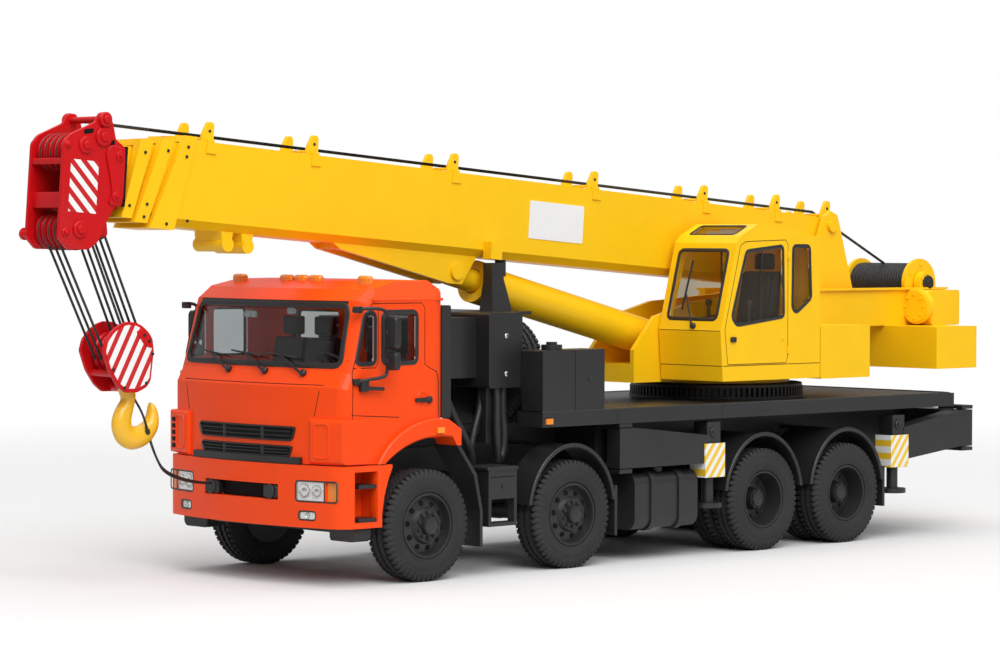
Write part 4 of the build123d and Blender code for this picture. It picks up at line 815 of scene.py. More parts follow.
@dataclass
class CabTrim:
    """Seals, seams, wipers and handles on the driver's cab."""

    half_width: float = 28.0
    corner: float = 3.2
    corner_share: float = 0.7
    bow_axis: float = -79.7
    profile_z: tuple[float, ...] = (25.2, 41.0, 44.2, 58.8, 61.1, 62.7)
    profile_x: tuple[float, ...] = (26.0, 26.0, 24.3, 20.4, 17.4, 10.4)
    screen: Points = ((-25.0, 45.4), (25.0, 45.4), (24.0, 57.8), (-24.0, 57.8))
    quarter: Points = ((19.0, 45.8), (14.0, 45.8), (14.0, 56.4), (16.4, 56.4))
    door_pane: Points = rectangle(11.9, 45.8, 2.4, 56.4)
    rear_pane: Points = rectangle(4.0, 47.0, 18.0, 56.0)
    wiper_pivots: Points = ((-6.6, 43.9), (5.3, 43.9), (16.3, 43.7))
    wiper_elbows: Points = ((-14.5, 47.5), (-1.6, 47.6), (9.1, 47.4))
    blade_reach: float = 5.2
    band_half: float = 23.8
    band_up: tuple[float, float] = (57.7, 58.7)
    hood_lines: tuple[Points, ...] = (((-22.6, 41.5), (22.6, 41.5)), ((22.0, 41.4), (20.4, 35.0)))
    door_lines: tuple[Points, ...] = (
        ((20.4, 26.0), (20.0, 44.0), (15.2, 58.2), (0.2, 58.2), (0.2, 45.2), (-3.6, 43.6), (-3.8, 34.2)),
        ((20.4, 35.4), (7.4, 34.6)),
        ((13.2, 57.6), (13.2, 45.0), (19.6, 45.0)),
    )
    rail_line: Points = ((14.6, 58.9), (-4.9, 58.9))

    def front(self, flat: Points, proud: float = 0.0) -> np.ndarray:
        """Lays points of (across, up) on the cab's bowed front.

        The distance along is the bow's axis plus the root of (radius squared less across squared), where
        the radius is the front's profile at that height, counted from the axis, plus how far the point
        stands proud.

        Args:
            flat: Rows of (across, up).
            proud: How far the points stand off the front.

        Returns:
            The points on the vehicle.
        """
        rows = np.asarray(flat, float)
        radius = np.interp(rows[:, 1], self.profile_z, self.profile_x) - self.bow_axis + proud
        along = self.bow_axis + np.sqrt(radius ** 2 - rows[:, 0] ** 2)
        return np.column_stack([along, rows[:, 0], rows[:, 1]])

    def front_normals(self, path: np.ndarray) -> np.ndarray:
        """Returns the front's outward directions at points on it, from the bow and the profile's slope."""
        out = np.column_stack([path[:, 0] - self.bow_axis, path[:, 1], np.zeros(len(path))])
        out = unit(out)
        low = np.interp(path[:, 2] - 0.5, self.profile_z, self.profile_x)
        high = np.interp(path[:, 2] + 0.5, self.profile_z, self.profile_x)
        out[:, 2] = low - high
        return unit(out)

    def on_side(self, flat: Points, proud: float = 0.0) -> np.ndarray:
        """Lays points of (along, up) on the cab's left side and round its front corner.

        Past the corner's start the side turns in by its radius less the root of (radius squared less the
        distance past the start, squared). The start lies a share of the radius behind the edge where
        front and side would meet.

        Args:
            flat: Rows of (along, up).
            proud: How far the points stand off the side.

        Returns:
            The points on the vehicle.
        """
        rows = np.asarray(flat, float)
        bow = np.interp(rows[:, 1], self.profile_z, self.profile_x) - self.bow_axis
        start = self.bow_axis + np.sqrt(bow ** 2 - self.half_width ** 2) - self.corner_share * self.corner
        past = np.clip(rows[:, 0] - start, 0.0, self.corner)
        inset = self.corner - np.sqrt(self.corner ** 2 - past ** 2)
        return np.column_stack([rows[:, 0], self.half_width + proud - inset, rows[:, 1]])

    def bead(self, flat: Points, wide: float, high: float, proud: float = 0.0, sides: int = 8,
             closed: bool = False) -> Shape:
        """Returns a bead along a line on the bowed front.

        Args:
            flat: Rows of (across, up).
            wide: Half the bead's width.
            high: Half its height off the front.
            proud: How far its middle stands off the front.
            sides: Number of steps round the bead.
            closed: Whether the line is a loop.

        Returns:
            The bead's surface.
        """
        path = self.front(flat, proud)
        return tube(path, wide, high, self.front_normals(path), sides, closed)

    def strip(self, lower: np.ndarray, upper: np.ndarray, back: float, front: float) -> Shape:
        """Returns a bowed strip between two lines on the front, and between two distances off it."""
        edges = ((lower, back), (upper, back), (upper, front), (lower, front))
        return grid(np.stack([self.front(line, proud) for line, proud in edges], 1), False, True, True)

    def seals(self) -> None:
        """Makes the black rubber round every window, and the dark band over the windscreen."""
        shapes = [self.bead(dense(rounded(self.screen, 1.6), 0.8, True), 0.62, 0.3, closed=True)]
        for pane in (self.quarter, self.door_pane):
            loop = self.on_side(dense(rounded(pane, 1.2), 0.6, True))
            shapes += paired([tube(loop, 0.5, 0.2, ACROSS, 8, True)])
        flat = dense(rounded(self.rear_pane, 1.2), 0.6, True)
        loop = np.column_stack([np.full(len(flat), -5.0), flat])
        shapes += paired([tube(loop, 0.45, 0.2, np.array([-1.0, 0.0, 0.0]), 8, True)])
        make("window_seals", shapes, TRIM, "carrier")
        across = np.linspace(-self.band_half, self.band_half, 70)
        lower, upper = (np.column_stack([across, np.full(70, up)]) for up in self.band_up)
        make("screen_band", [self.strip(lower, upper, -0.2, 0.1)], TRIM, "carrier")

    def seams(self) -> None:
        """Makes the dark lines round the hood and the doors, and the drip rails over the doors."""
        lines = []
        for flat in self.hood_lines:
            lines.append(self.bead(dense(flat, 1.5), 0.09, 0.04, sides=6))
        lines.append(lines[-1].mirrored())
        for flat in self.door_lines:
            path = self.on_side(dense(flat, 2.0))
            lines += paired([tube(path, 0.09, 0.04, ACROSS, 6)])
        make("cab_seams", lines, LINE, "carrier")
        rail = self.on_side(dense(self.rail_line, 2.0), -0.15)
        make("drip_rails", paired([tube(rail, 0.3, 0.3, ACROSS, 8)]), ORANGE, "carrier")

    def wipers(self) -> None:
        """Makes three wipers: an arm from its pivot to its elbow, and a blade that lies on the glass."""
        shapes = []
        for pivot, elbow in zip(self.wiper_pivots, self.wiper_elbows):
            foot = self.front([pivot], 0.0)[0]
            out = self.front_normals(foot[None])[0]
            shapes.append(boss(foot, out, 0.75, 0.9, 0.25, 20))
            shapes.append(self.bead(dense((pivot, elbow), 1.0), 0.28, 0.2, 0.75))
            ends = ((elbow[0] - 0.98 * self.blade_reach, elbow[1] + 0.35),
                    (elbow[0] + 0.98 * self.blade_reach, elbow[1] - 0.55))
            shapes.append(self.bead(dense(ends, 1.0), 0.2, 0.3, 0.45))
            spine = ((elbow[0] - 2.4, elbow[1] + 0.15), (elbow[0] + 2.4, elbow[1] - 0.26))
            shapes.append(self.bead(dense(spine, 1.0), 0.16, 0.16, 0.75, 6))
        make("wipers", shapes, TRIM, "carrier")

    def handles(self) -> None:
        """Makes the door handles in their round dishes, and the brackets of the mirrors' lower stays."""
        bar = SIDE_VIEW.prism(rounded(((3.0, 37.6), (-1.0, 37.5), (-1.0, 38.5), (3.0, 38.4)), 0.3), 28.0,
                              28.6, 0.12)
        knob = boss((-0.9, 28.0, 38.0), ACROSS, 0.75, 0.7, 0.2)
        plate = SIDE_VIEW.prism(rounded(rectangle(18.6, 40.2, 16.6, 42.6), 0.4), 28.0, 29.2, 0.15)
        stay = tube(((17.6, 28.9, 40.9), (15.0, 29.3, 40.8), (13.0, 29.5, 40.7)), 0.4)
        make("door_handles", paired([bar, knob, plate, stay]), TRIM, "carrier")
        dish = tube(circle_places((0.9, 28.0, 38.4), ACROSS, 1.25, 32), 0.22, 0.12,
                    ACROSS, 6, True)
        make("handle_dishes", paired([dish]), ORANGE, "carrier")

    def inside(self) -> None:
        """Makes the inner mirrors and the seats' cushions that show through the windscreen."""
        mirrors = []
        for low, high, up in ((-9.4, -5.2, 54.7), (4.6, 7.6, 55.6)):
            outline = rounded(rectangle(low, up, high, up + 1.5), 0.6)
            mirrors.append(FRONT_VIEW.prism(outline, 17.4, 17.9, 0.15))
            mirrors.append(tube(((17.5, (low + high) / 2, up + 1.2), (16.6, (low + high) / 2, 59.2)), 0.22))
        make("cab_mirrors", mirrors, SILVER, "carrier")
        shapes = []
        for across in (14.0, -6.0, -16.5):
            pad = ((-3.4, 43.0), (3.4, 43.0), (3.0, 49.6), (-3.0, 49.6))
            shapes.append(Placing((0.2, across, 0.0), ACROSS, (-0.1, 0, 1), (1, 0, 0.1)).prism(
                rounded(pad, 1.2), 0.6, 1.3, 0.3))
        make("cab_fittings", shapes, DARK, "carrier")

    def build(self) -> None:
        """Makes everything on the driver's cab."""
        self.seals()
        self.seams()
        self.wipers()
        self.handles()
        self.inside()


@dataclass
class Mirrors:
    """The door mirrors: a bent arm on each side with two rounded heads."""

    arm_across: float = 31.0
    arm_along: float = 13.2
    outer: float = 34.0
    upper: tuple[float, float] = (49.0, 55.7)
    lower: tuple[float, float] = (44.6, 48.4)

    def build(self) -> None:
        """Makes the arms, their brackets and the heads."""
        route = ((18.8, 27.8, 57.0), (17.6, 29.4, 57.3), (14.6, 30.7, 57.2),
                 *((self.arm_along, self.arm_across, up) for up in (56.4, 50.0, 44.0)),
                 (14.2, 30.7, 43.1), (17.6, 29.6, 42.7), (19.2, 28.1, 42.2))
        shapes = [tube(smooth(route, 60), 0.36, sides=10)]
        for low, high in (self.upper, self.lower):
            outline = rounded(rectangle(30.5, low, self.outer, high), 0.9)
            shapes.append(FRONT_VIEW.prism(outline, 12.1, 13.7, 0.35))
            middle = (low + high) / 2
            shapes.append(lathe([(-0.5, 0.62), (-0.3, 0.7), (0.3, 0.7), (0.5, 0.62)],
                                (self.arm_along, self.arm_across, middle), UPWARD, 16))
        for along, up in ((18.8, 57.0), (19.2, 42.2)):
            flat = rounded(rectangle(along - 0.9, up - 0.7, along + 0.9, up + 0.7), 0.3)
            shapes.append(SIDE_VIEW.prism(flat, 27.3, 28.7, 0.15))
        make("door_mirrors", paired(shapes), TRIM, "carrier", ["mirrors"])
        panes = [rectangle(30.9, low + 0.4, self.outer - 0.4, high - 0.4)
                 for low, high in (self.upper, self.lower)]
        glass = [FRONT_VIEW.prism(rounded(pane, 0.7), 12.0, 12.14) for pane in panes]
        make("mirror_glass", paired(glass), SILVER, "carrier")


@dataclass
class Grille:
    """Painted shade in the cab's front slots, with slats behind a rounded frame, and in the corner pods'
    vents.
    """

    cab: CabTrim
    slots: Points = ((29.9, 32.6, 15.6), (26.6, 28.6, 14.8))

    def panel(self, outline: np.ndarray, back: float, front: float) -> Shape:
        """Returns a bowed panel whose outline lies on the cab's front."""
        return grid(np.stack([self.cab.front(outline, back), self.cab.front(outline, front)]), False, True,
                    True)

    def build(self) -> None:
        """Makes the slots' painted shade, their slats, and the vents' painted shade."""
        panels = []
        slats = []
        for low, high, half in self.slots:
            slot = ((-half, high), (-half + 0.9, low), (half - 0.9, low), (half, high))
            outline = dense(rounded(slot, 0.6), 0.8, True)
            across = np.linspace(-half, half, 60)
            slope = np.clip((np.abs(across) - half + 0.9) / 0.9, 0.0, 0.95)
            lower = np.stack([across, low + (high - low) * slope], 1)
            upper = np.stack([across, np.full(60, high)], 1)
            panels.append(self.cab.strip(lower, upper, -0.3, 0.14))
            slats.append(self.cab.bead(outline, 0.22, 0.32, 0.1, 6, True))
            for up in np.linspace(low, high, 4)[1:-1]:
                bar = dense(((-half + 1.2, up), (half - 1.2, up)), 1.0)
                slats.append(self.cab.bead(bar, 0.16, 0.2, 0.12, 6))
            for across in (-6.2, 6.2):
                post = dense(((across, low + 0.2), (across, high - 0.2)), 0.5)
                slats.append(self.cab.bead(post, 0.5, 0.2, 0.14, 6))
        # Painted shade: near-black panels fill the slots, where only the dark behind the grille shows.
        make("grille_slot_shade", panels, SHADE, "carrier", ["grille"])
        make("grille_slats", slats, TRIM, "carrier")
        # Painted shade: near-black slips stand in the vents' openings.
        vents = []
        for up in np.linspace(27.0, 32.6, 5):
            outline = rounded(rectangle(-27.1, up - 0.45, -25.4, up + 0.45), 0.2)
            vents.append(self.panel(outline, 0.4, 1.0))
        make("pod_vent_shade", vents, SHADE, "carrier")
        border = dense(rounded(rectangle(21.4, 26.6, 25.0, 33.6), 0.9), 0.6, True)
        ring = self.cab.bead(border, 0.2, 0.22, 0.92, 8, True)
        make("pod_borders", paired([ring]), ORANGE, "carrier")


@dataclass
class BumperTrim:
    """Lamp bowls and frames, the tow slot's fittings, and what stands over, beside and under the bumper."""

    bow_axis: float = -79.7
    reach: float = 27.2
    slot_across: tuple[float, float] = (-11.9, 11.9)
    slot_up: tuple[float, float] = (17.6, 20.8)
    lamp_up: tuple[float, float] = (17.6, 21.8)
    fog_up: tuple[float, float] = (13.8, 15.6)
    lamp_facing: tuple[float, float, float] = (0.96, 0.25, 0.0)
    bowls: Points = ((18.9, 19.7, 1.6), (22.1, 19.7, 1.35), (19.8, 14.7, 0.66))
    sleeve: Points = ((7.3, 17.9), (11.5, 17.9), (11.7, 18.4), (11.7, 20.2), (11.3, 20.6), (7.3, 20.6))
    wing: Points = (
        (14.3, 12.4), (14.3, 25.0), (9.8, 25.0), (11.2, 22.0), (12.3, 18.5), (12.9, 15.0), (13.1, 12.4),
    )
    member: Points = ((15.4, 10.8), (18.6, 10.8), (19.4, 12.1), (15.4, 12.1))
    bracket: Points = ((20.4, 9.3), (27.2, 9.3), (28.0, 10.2), (28.0, 12.15), (20.0, 12.15), (20.0, 9.9))

    def bowed(self, flat: Points, proud: float) -> np.ndarray:
        """Lays points of (across, up) on the bumper's bow, as CabTrim.front does on the cab's front."""
        rows = np.asarray(flat, float)
        along = self.bow_axis + np.sqrt((self.reach - self.bow_axis + proud) ** 2 - rows[:, 0] ** 2)
        return np.column_stack([along, rows[:, 0], rows[:, 1]])

    def plate(self, across: tuple[float, float], up: tuple[float, float], back: float,
              front: float) -> Shape:
        """Returns a bowed plate between two distances off the bumper's face."""
        span = np.linspace(across[0], across[1], 25)
        rows = [self.bowed(np.column_stack([span, np.full(25, height)]), proud)
                for height, proud in ((up[0], back), (up[0], front), (up[1], front), (up[1], back))]
        return grid(np.stack(rows, 1), False, True, True)

    def build(self) -> None:
        """Makes the lamps' frames and bowls, and dresses the tow slot, with painted shade on a plate inside
        it.
        """
        frames = []
        for across, up in (((16.8, 27.2), self.lamp_up), ((17.6, 22.0), self.fog_up)):
            corners = rectangle(across[0], up[0], across[1], up[1])
            path = self.bowed(dense(rounded(corners, 0.6), 0.6, True), -0.02)
            frames.append(tube(path, 0.17, 0.12, self.lamp_facing, 6, True))
        split = self.bowed(((24.15, self.lamp_up[0]), (24.15, self.lamp_up[1])), -0.05)
        frames.append(tube(split, 0.17, 0.12, self.lamp_facing, 6))
        make("lamp_frames", paired(frames), TRIM, "carrier")
        bowls = []
        for across, up, size in self.bowls:
            centre = self.bowed(((across, up),), -0.24)[0]
            out = unit(np.array([centre[0] - self.bow_axis, centre[1], 0.0]))
            profile = [(-0.2, size), (0.16, size), (0.2, size - 0.14), (0.08, size - 0.3),
                       (0.02, 0.5 * size), (0.12, 0.3 * size), (0.2, 0.12 * size)]
            bowls.append(lathe(profile, centre, out, 32))
        make("lamp_bowls", paired(bowls), STEEL, "carrier")
        # Painted shade: a near-black plate inside the tow slot stands for the shade within it.
        back = self.plate((self.slot_across[0] - 0.6, self.slot_across[1] + 0.6),
                          (self.slot_up[0] - 0.6, self.slot_up[1] + 0.6), -2.3, -1.74)
        make("tow_slot_shade", [back], SHADE, "carrier")
        pins = []
        for across in (-9.6, 9.6):
            centre = self.bowed(((across, 19.2),), -2.0)[0]
            pins.append(lathe([(0.0, 1.1), (1.5, 1.1), (1.55, 1.5), (2.2, 1.5), (2.4, 1.3), (2.4, 0.5)],
                              centre, ALONG, 24))
        make("tow_pins", pins, TRIM, "carrier")
        sleeve = FRONT_VIEW.prism(rounded(self.sleeve, 0.4), 25.0, 26.75, 0.2)
        make("tow_blocks", paired([sleeve]), TRIM, "carrier")
        wing = SIDE_VIEW.prism(rounded(self.wing, 0.3), 26.4, 29.0, 0.25)
        make("bumper_wings", paired([wing]), ORANGE, "carrier")
        self.under()

    def under(self) -> None:
        """Makes the dark strip over the bumper, and the member and brackets below it."""
        strip = self.plate((-17.4, 17.4), (25.06, 26.5), -1.7, -0.36)
        member = SIDE_VIEW.prism(rounded(self.member, 0.5), -20.6, 20.6, 0.2)
        bracket = FRONT_VIEW.prism(rounded(self.bracket, 0.4), 15.0, 19.6, 0.2)
        make("bumper_members", [strip, member] + paired([bracket]), TRIM, "carrier")


@dataclass
class ChassisTrim:
    """Rolled mudguard rims, deck edge, straps, hoses and screws on the carrier."""

    axles: tuple[float, float, float] = (-42.6, -104.9, -134.2)
    wheel_height: float = 11.75
    arch_half: float = 13.2
    arch_height: float = 15.2
    arch_foot: float = 14.4
    guard_outer: float = 29.0
    deck_front: float = -33.2
    deck_rear: float = -174.1
    deck_top: float = 34.15
    screw_along: float = -29.2

    def rims(self) -> None:
        """Makes each mudguard's bead: an oval arc, (half width cos a, height sin a) about the wheel."""
        low = np.arcsin((self.arch_foot - self.wheel_height) / self.arch_height)
        angle = np.linspace(low, np.pi - low, 40)
        shapes = []
        for along in self.axles:
            path = np.column_stack([
                along + (self.arch_half - 0.15) * np.cos(angle), np.full(40, self.guard_outer - 0.2),
                self.wheel_height + (self.arch_height - 0.15) * np.sin(angle),
            ])
            shapes.append(tube(path, 0.5, 0.5, ACROSS, 10))
        make("mudguard_rims", paired(shapes), CHASSIS, "carrier")

    def deck_edge(self) -> None:
        """Makes the deck's raised edge and the seams in its side."""
        corners = rectangle(self.deck_front, 28.7, self.deck_rear + 0.35, -28.7)
        path = np.column_stack([np.array(corners), np.full(4, self.deck_top)])
        shapes = [tube(dense(path, 4.0), 0.36, 0.24, UPWARD, 6)]
        for along in (-56.4, -90.6):
            strip = ((along, 29.0, 31.0), (along, 29.0, 34.1))
            shapes += paired([tube(strip, 0.22, 0.2, ACROSS, 6)])
        make("deck_edge", shapes, DECK, "carrier")

    def screws(self) -> None:
        """Makes the two bright screws on the equipment box's side, each with painted shade in its cross
        slot.
        """
        shapes = []
        slots = []
        for height in (50.6, 42.4):
            centre = (self.screw_along, 22.0, height)
            shapes.append(lathe([(-0.05, 0.62), (0.16, 0.6), (0.3, 0.42), (0.34, 0.2)], centre, ACROSS, 20))
            # Painted shade: thin near-black strips lie in each cross slot.
            for first, second in (((-0.4, -0.07), (0.4, 0.07)), ((-0.07, -0.4), (0.07, 0.4))):
                outline = rectangle(first[0] + self.screw_along, first[1] + height,
                                    second[0] + self.screw_along, second[1] + height)
                slots.append(SIDE_VIEW.prism(outline, 22.3, 22.37))
        make("panel_screws", paired(shapes), STEEL, "carrier")
        make("screw_slot_shade", paired(slots), SHADE, "carrier")

    def hoses(self) -> None:
        """Makes the hoses and the hoist chain's loop between the cab and the equipment box."""
        shapes = []
        routes = (
            ((-27.4, 20.6, 39.4), (-27.6, 20.8, 36.0), (-27.2, 21.0, 31.0), (-27.6, 20.8, 26.4),
             (-28.6, 20.0, 23.6), (-30.4, 19.4, 24.4), (-31.0, 19.4, 28.0), (-30.4, 19.6, 33.0),
             (-30.0, 19.8, 37.0), (-30.2, 19.8, 39.4)),
            ((-10.4, 21.0, 41.0), (-11.8, 22.0, 37.0), (-13.6, 22.4, 33.4), (-16.6, 22.2, 29.4),
             (-19.4, 21.4, 25.6), (-20.4, 20.6, 22.6)),
            ((-9.8, 18.0, 40.0), (-12.6, 19.4, 35.0), (-16.0, 19.8, 30.0), (-18.8, 19.6, 25.0),
             (-22.0, 19.0, 22.4)),
            ((-26.0, 17.6, 39.6), (-25.4, 17.8, 35.0), (-23.4, 18.2, 31.0), (-21.8, 18.4, 26.0),
             (-21.8, 18.4, 22.4)),
        )
        for route, radius in zip(routes, (0.95, 0.9, 0.7, 0.8)):
            shapes += paired([tube(smooth(route, 40), radius, sides=10)])
        make("hoses", shapes, TRIM, "carrier")

    def boxes(self) -> None:
        """Makes the lids, seams and latches of the tool boxes and the battery boxes."""
        lines = [
            tube(((-43.4, 28.8, 34.4), (-43.4, 28.8, 47.4), (-43.4, 22.4, 47.5)), 0.1, 0.05, ACROSS, 6),
            tube(((-25.4, 28.6, 20.9), (-18.3, 28.6, 20.9)), 0.1, 0.05, ACROSS, 6),
        ]
        make("box_seams", paired(lines), SHADE, "carrier")
        lid = SIDE_VIEW.prism(rounded(rectangle(-26.4, 22.3, -17.3, 23.1), 0.3), 20.2, 28.9, 0.2)
        knobs = [boss((-22.0, 28.6, 18.8), ACROSS, 0.4, 0.3, 0.1, 16),
                 boss((-48.0, 28.8, 41.0), ACROSS, 0.45, 0.3, 0.1, 16)]
        make("box_lids", paired([lid] + knobs), CHASSIS, "carrier")

    def build(self) -> None:
        """Makes everything on the carrier's chassis."""
        self.rims()
        self.deck_edge()
        self.screws()
        self.hoses()
        self.boxes()


def smooth(route: Points, count: int) -> np.ndarray:
    """Lays a smooth line near a route: the quadratic B-spline whose control points are the route's.

    Args:
        route: The control points.
        count: Number of points on the line.

    Returns:
        Points on the line, which starts and ends at the route's ends.
    """
    control = np.asarray(route, float)
    control = np.vstack([2 * control[0] - control[1], control, 2 * control[-1] - control[-2]])
    at = np.linspace(0.0, len(control) - 2 - 1e-6, count)
    first = at.astype(int)
    share = (at - first)[:, None]
    before, here, after = control[first], control[first + 1], control[first + 2]
    return 0.5 * ((1 - share) ** 2 * before + (1 + 2 * share * (1 - share)) * here + share ** 2 * after)


@dataclass
class JackTrim:
    """The striped plates and bolts on one outrigger's jack."""

    place: str
    side: Side
    along: float
    low: float
    hinge: float = 26.6
    half: float = 3.2
    height: float = 7.8

    def build(self) -> None:
        """Makes the plate's striped sleeve and the bolt above it."""
        outer = (self.hinge - 2.4, self.hinge + 2.3)
        corners = np.array(rectangle(self.along - self.half, outer[0], self.along + self.half, outer[1]))
        middle = corners.mean(0)
        wide = middle + (corners - middle) * np.array([1 + 0.08 / self.half, 1 + 0.08 / 2.35])
        rings = [np.column_stack([ring, np.full(4, level)]) for ring, level in (
            (corners, self.low + 0.05), (wide, self.low + 0.05), (wide, self.low + self.height - 0.05),
            (corners, self.low + self.height - 0.05))]
        sleeve = grid(np.stack(rings), True, True)
        label = f"{self.place}_{self.side.name.lower()}"
        body = f"outrigger_{label}"
        flip = np.array([1.0, self.side.value, 1.0])
        make(f"stripes_{label}", [Shape(sleeve.points * flip, sleeve.faces)], JACK_STRIPES, body)
        top = self.low + self.height + 2.4
        bolt = boss((self.along, self.hinge + 1.9, top), ACROSS, 1.25, 0.35, 0.12)
        core = boss((self.along, self.hinge + 2.2, top), ACROSS, 0.62, 0.3, 0.1, 6)
        bolts = [Shape(part.points * flip, part.faces) for part in (bolt, core)]
        make(f"jack_bolts_{label}", bolts, CHASSIS, body)


@dataclass
class SlewRing:
    """The toothed ring under the turntable, fixed to the deck."""

    centre: tuple[float, float, float] = (-120.0, 0.0, 0.0)
    outer: float = 20.8
    teeth: int = 96
    tooth: float = 0.95
    low: float = 34.15
    high: float = 37.5

    def build(self) -> None:
        """Makes the ring: its radius drops by a tooth's depth in the gaps, between two plain rims."""
        step = np.array([0.0, 0.46, 0.54, 0.92])
        gap = np.tile(np.array([0.0, 0.0, 1.0, 1.0]), self.teeth)
        angle = ((np.arange(self.teeth)[:, None] + step) * TURN / self.teeth).ravel()
        rows = np.array([
            (self.low, 2.0, 0), (self.low, self.outer, 0), (self.low + 0.55, self.outer, 0),
            (self.low + 0.6, self.outer - 0.15, 1), (self.high - 0.75, self.outer - 0.15, 1),
            (self.high - 0.7, self.outer - 0.35, 0), (self.high - 0.1, self.outer - 0.35, 0),
            (self.high, self.outer - 0.5, 0), (self.high, 2.0, 0),
        ])
        radius = rows[:, 1, None] - self.tooth * rows[:, 2, None] * gap
        points = np.stack([radius * np.cos(angle), radius * np.sin(angle),
                           np.broadcast_to(rows[:, :1], radius.shape)], -1)
        make("slewing_teeth", [grid(points + np.array(self.centre), False, True, True)], CHASSIS, "carrier",
             ["slewing_gear"])


@dataclass
class CraneCab:
    """Seals, seams, wiper and latch on the operator's cab."""

    outer: float = 27.0
    door: Points = ((-100.6, 68.8), (-113.2, 70.0), (-113.6, 53.6), (-97.4, 51.8), (-95.8, 53.8))
    quarter: Points = ((-116.8, 70.0), (-122.6, 70.0), (-123.2, 57.8), (-118.0, 54.4), (-116.6, 55.4))
    front_pane: Points = rectangle(9.8, 53.2, 25.0, 69.0)
    sky_pane: Points = rectangle(-103.6, 10.2, -99.4, 24.4)
    side_lines: tuple[Points, ...] = (
        ((-94.4, 42.9), (-93.4, 51.0), (-98.7, 70.4), (-100.4, 71.0), (-115.0, 71.4), (-115.0, 42.9),
         (-94.4, 42.9)),
        ((-92.7, 42.6), (-126.3, 42.6)),
    )
    cushion: Points = ((-112.4, 50.6), (-103.6, 51.0), (-103.6, 52.4), (-112.4, 52.0))
    headrest: Points = ((-118.2, 64.4), (-116.4, 64.4), (-116.6, 68.2), (-118.2, 68.2))

    def on_front(self, flat: Points, proud: float = 0.0) -> np.ndarray:
        """Lays points of (across, up) on the leaning front, a straight slope from foot to head."""
        rows = np.asarray(flat, float)
        along = np.interp(rows[:, 1], (39.1, 50.6, 70.6), (-92.8, -91.9, -97.2)) + proud
        return np.column_stack([along, rows[:, 0], rows[:, 1]])

    def on_roof(self, flat: Points) -> np.ndarray:
        """Lays points of (along, across) on the roof's front slope."""
        rows = np.asarray(flat, float)
        return np.column_stack([rows, np.interp(-rows[:, 0], (98.6, 104.5), (72.2, 75.0))])

    def on_side(self, flat: Points) -> np.ndarray:
        """Lays points of (along, up) on the cab's outer side."""
        rows = np.asarray(flat, float)
        return np.column_stack([rows[:, 0], np.full(len(rows), self.outer), rows[:, 1]])

    def build(self) -> None:
        """Makes everything on the operator's cab."""
        ahead = unit(np.array([0.967, 0.0, 0.256]))
        seals = [tube(self.on_side(dense(rounded(pane, 0.9), 0.6, True)), 0.42, 0.18, ACROSS, 8, True)
                 for pane in (self.door, self.quarter)]
        seals.append(tube(self.on_front(dense(rounded(self.front_pane, 1.1), 0.8, True)), 0.45, 0.18, ahead,
                          8, True))
        seals.append(tube(self.on_roof(dense(rounded(self.sky_pane, 0.5), 0.8, True)), 0.3, 0.14,
                          unit(np.array([0.43, 0.0, 0.9])), 8, True))
        inner = self.on_side(dense(rounded(self.door, 0.9), 0.6, True))
        inner = inner * np.array([1, 0, 1]) + np.array([0, 7.7, 0])
        seals.append(tube(inner, 0.4, 0.18, ACROSS, 8, True))
        make("crane_cab_seals", seals, TRIM, "turntable")
        split = self.on_side(((-105.6, 52.8), (-106.4, 69.2))) - np.array([0.0, 0.35, 0.0])
        make("crane_cab_split", [tube(split, 0.22, 0.2, ACROSS, 6)], TRIM, "turntable")
        lines = []
        for flat in self.side_lines:
            lines.append(tube(self.on_side(dense(flat, 2.0)), 0.1, 0.05, ACROSS, 6))
        sill = dense(((7.8, 42.6), (26.9, 42.6)), 2.0)
        lines.append(tube(self.on_front(sill), 0.1, 0.05, ALONG, 6))
        crease = dense(((7.8, 50.6), (26.9, 50.6)), 2.0)
        lines.append(tube(self.on_front(crease, -0.02), 0.09, 0.05, ALONG, 6))
        make("crane_cab_seams", lines, OCHRE_LINE, "turntable")
        pivot, elbow = (18.4, 51.6), (14.6, 59.6)
        foot = self.on_front([pivot])[0]
        shapes = [boss(foot, ahead, 0.7, 0.8, 0.2, 20)]
        shapes.append(tube(self.on_front((pivot, elbow), 0.7), 0.22, 0.2, ahead, 8))
        shapes.append(tube(self.on_front(((14.2, 55.2), (14.9, 66.6)), 0.4), 0.2, 0.26, ahead, 8))
        latch = SIDE_VIEW.prism(rounded(rectangle(-95.2, 48.0, -97.0, 49.2), 0.3), 27.0, 27.5, 0.12)
        shapes.append(latch)
        make("crane_cab_wiper", shapes, TRIM, "turntable")
        rod = boss((-113.4, 27.0, 48.6), ACROSS, 0.62, 0.2, 0.08, 20)
        hinges = [SIDE_VIEW.prism(rounded(rectangle(-114.6, z, -115.4, z + 1.6), 0.2), 27.0, 27.35, 0.1)
                  for z in (45.0, 67.0)]
        make("crane_cab_hinges", [rod] + hinges, YELLOW, "turntable")
        self.inside()

    def inside(self) -> None:
        """Makes the seat's cushions, the levers and the panel that show through the glass."""
        shapes = []
        back = turned_frame((-112.8, 0.0, 50.6), 102.0)
        shapes.append(back.prism(rounded(rectangle(0.0, -1.2, 13.4, 0.0), 0.4), 13.4, 21.6, 0.3))
        shapes.append(SIDE_VIEW.prism(rounded(self.cushion, 0.5), 13.4, 21.6, 0.3))
        shapes.append(SIDE_VIEW.prism(rounded(self.headrest, 0.5), 15.0, 20.0, 0.3))
        for across in (11.4, 23.6):
            shapes.append(lathe([(-0.2, 0.7), (0.6, 0.85), (1.2, 0.6), (1.4, 0.2)], (-105.0, across, 56.2),
                                UPWARD, 16))
        make("crane_cab_seat", shapes, DARK, "turntable")


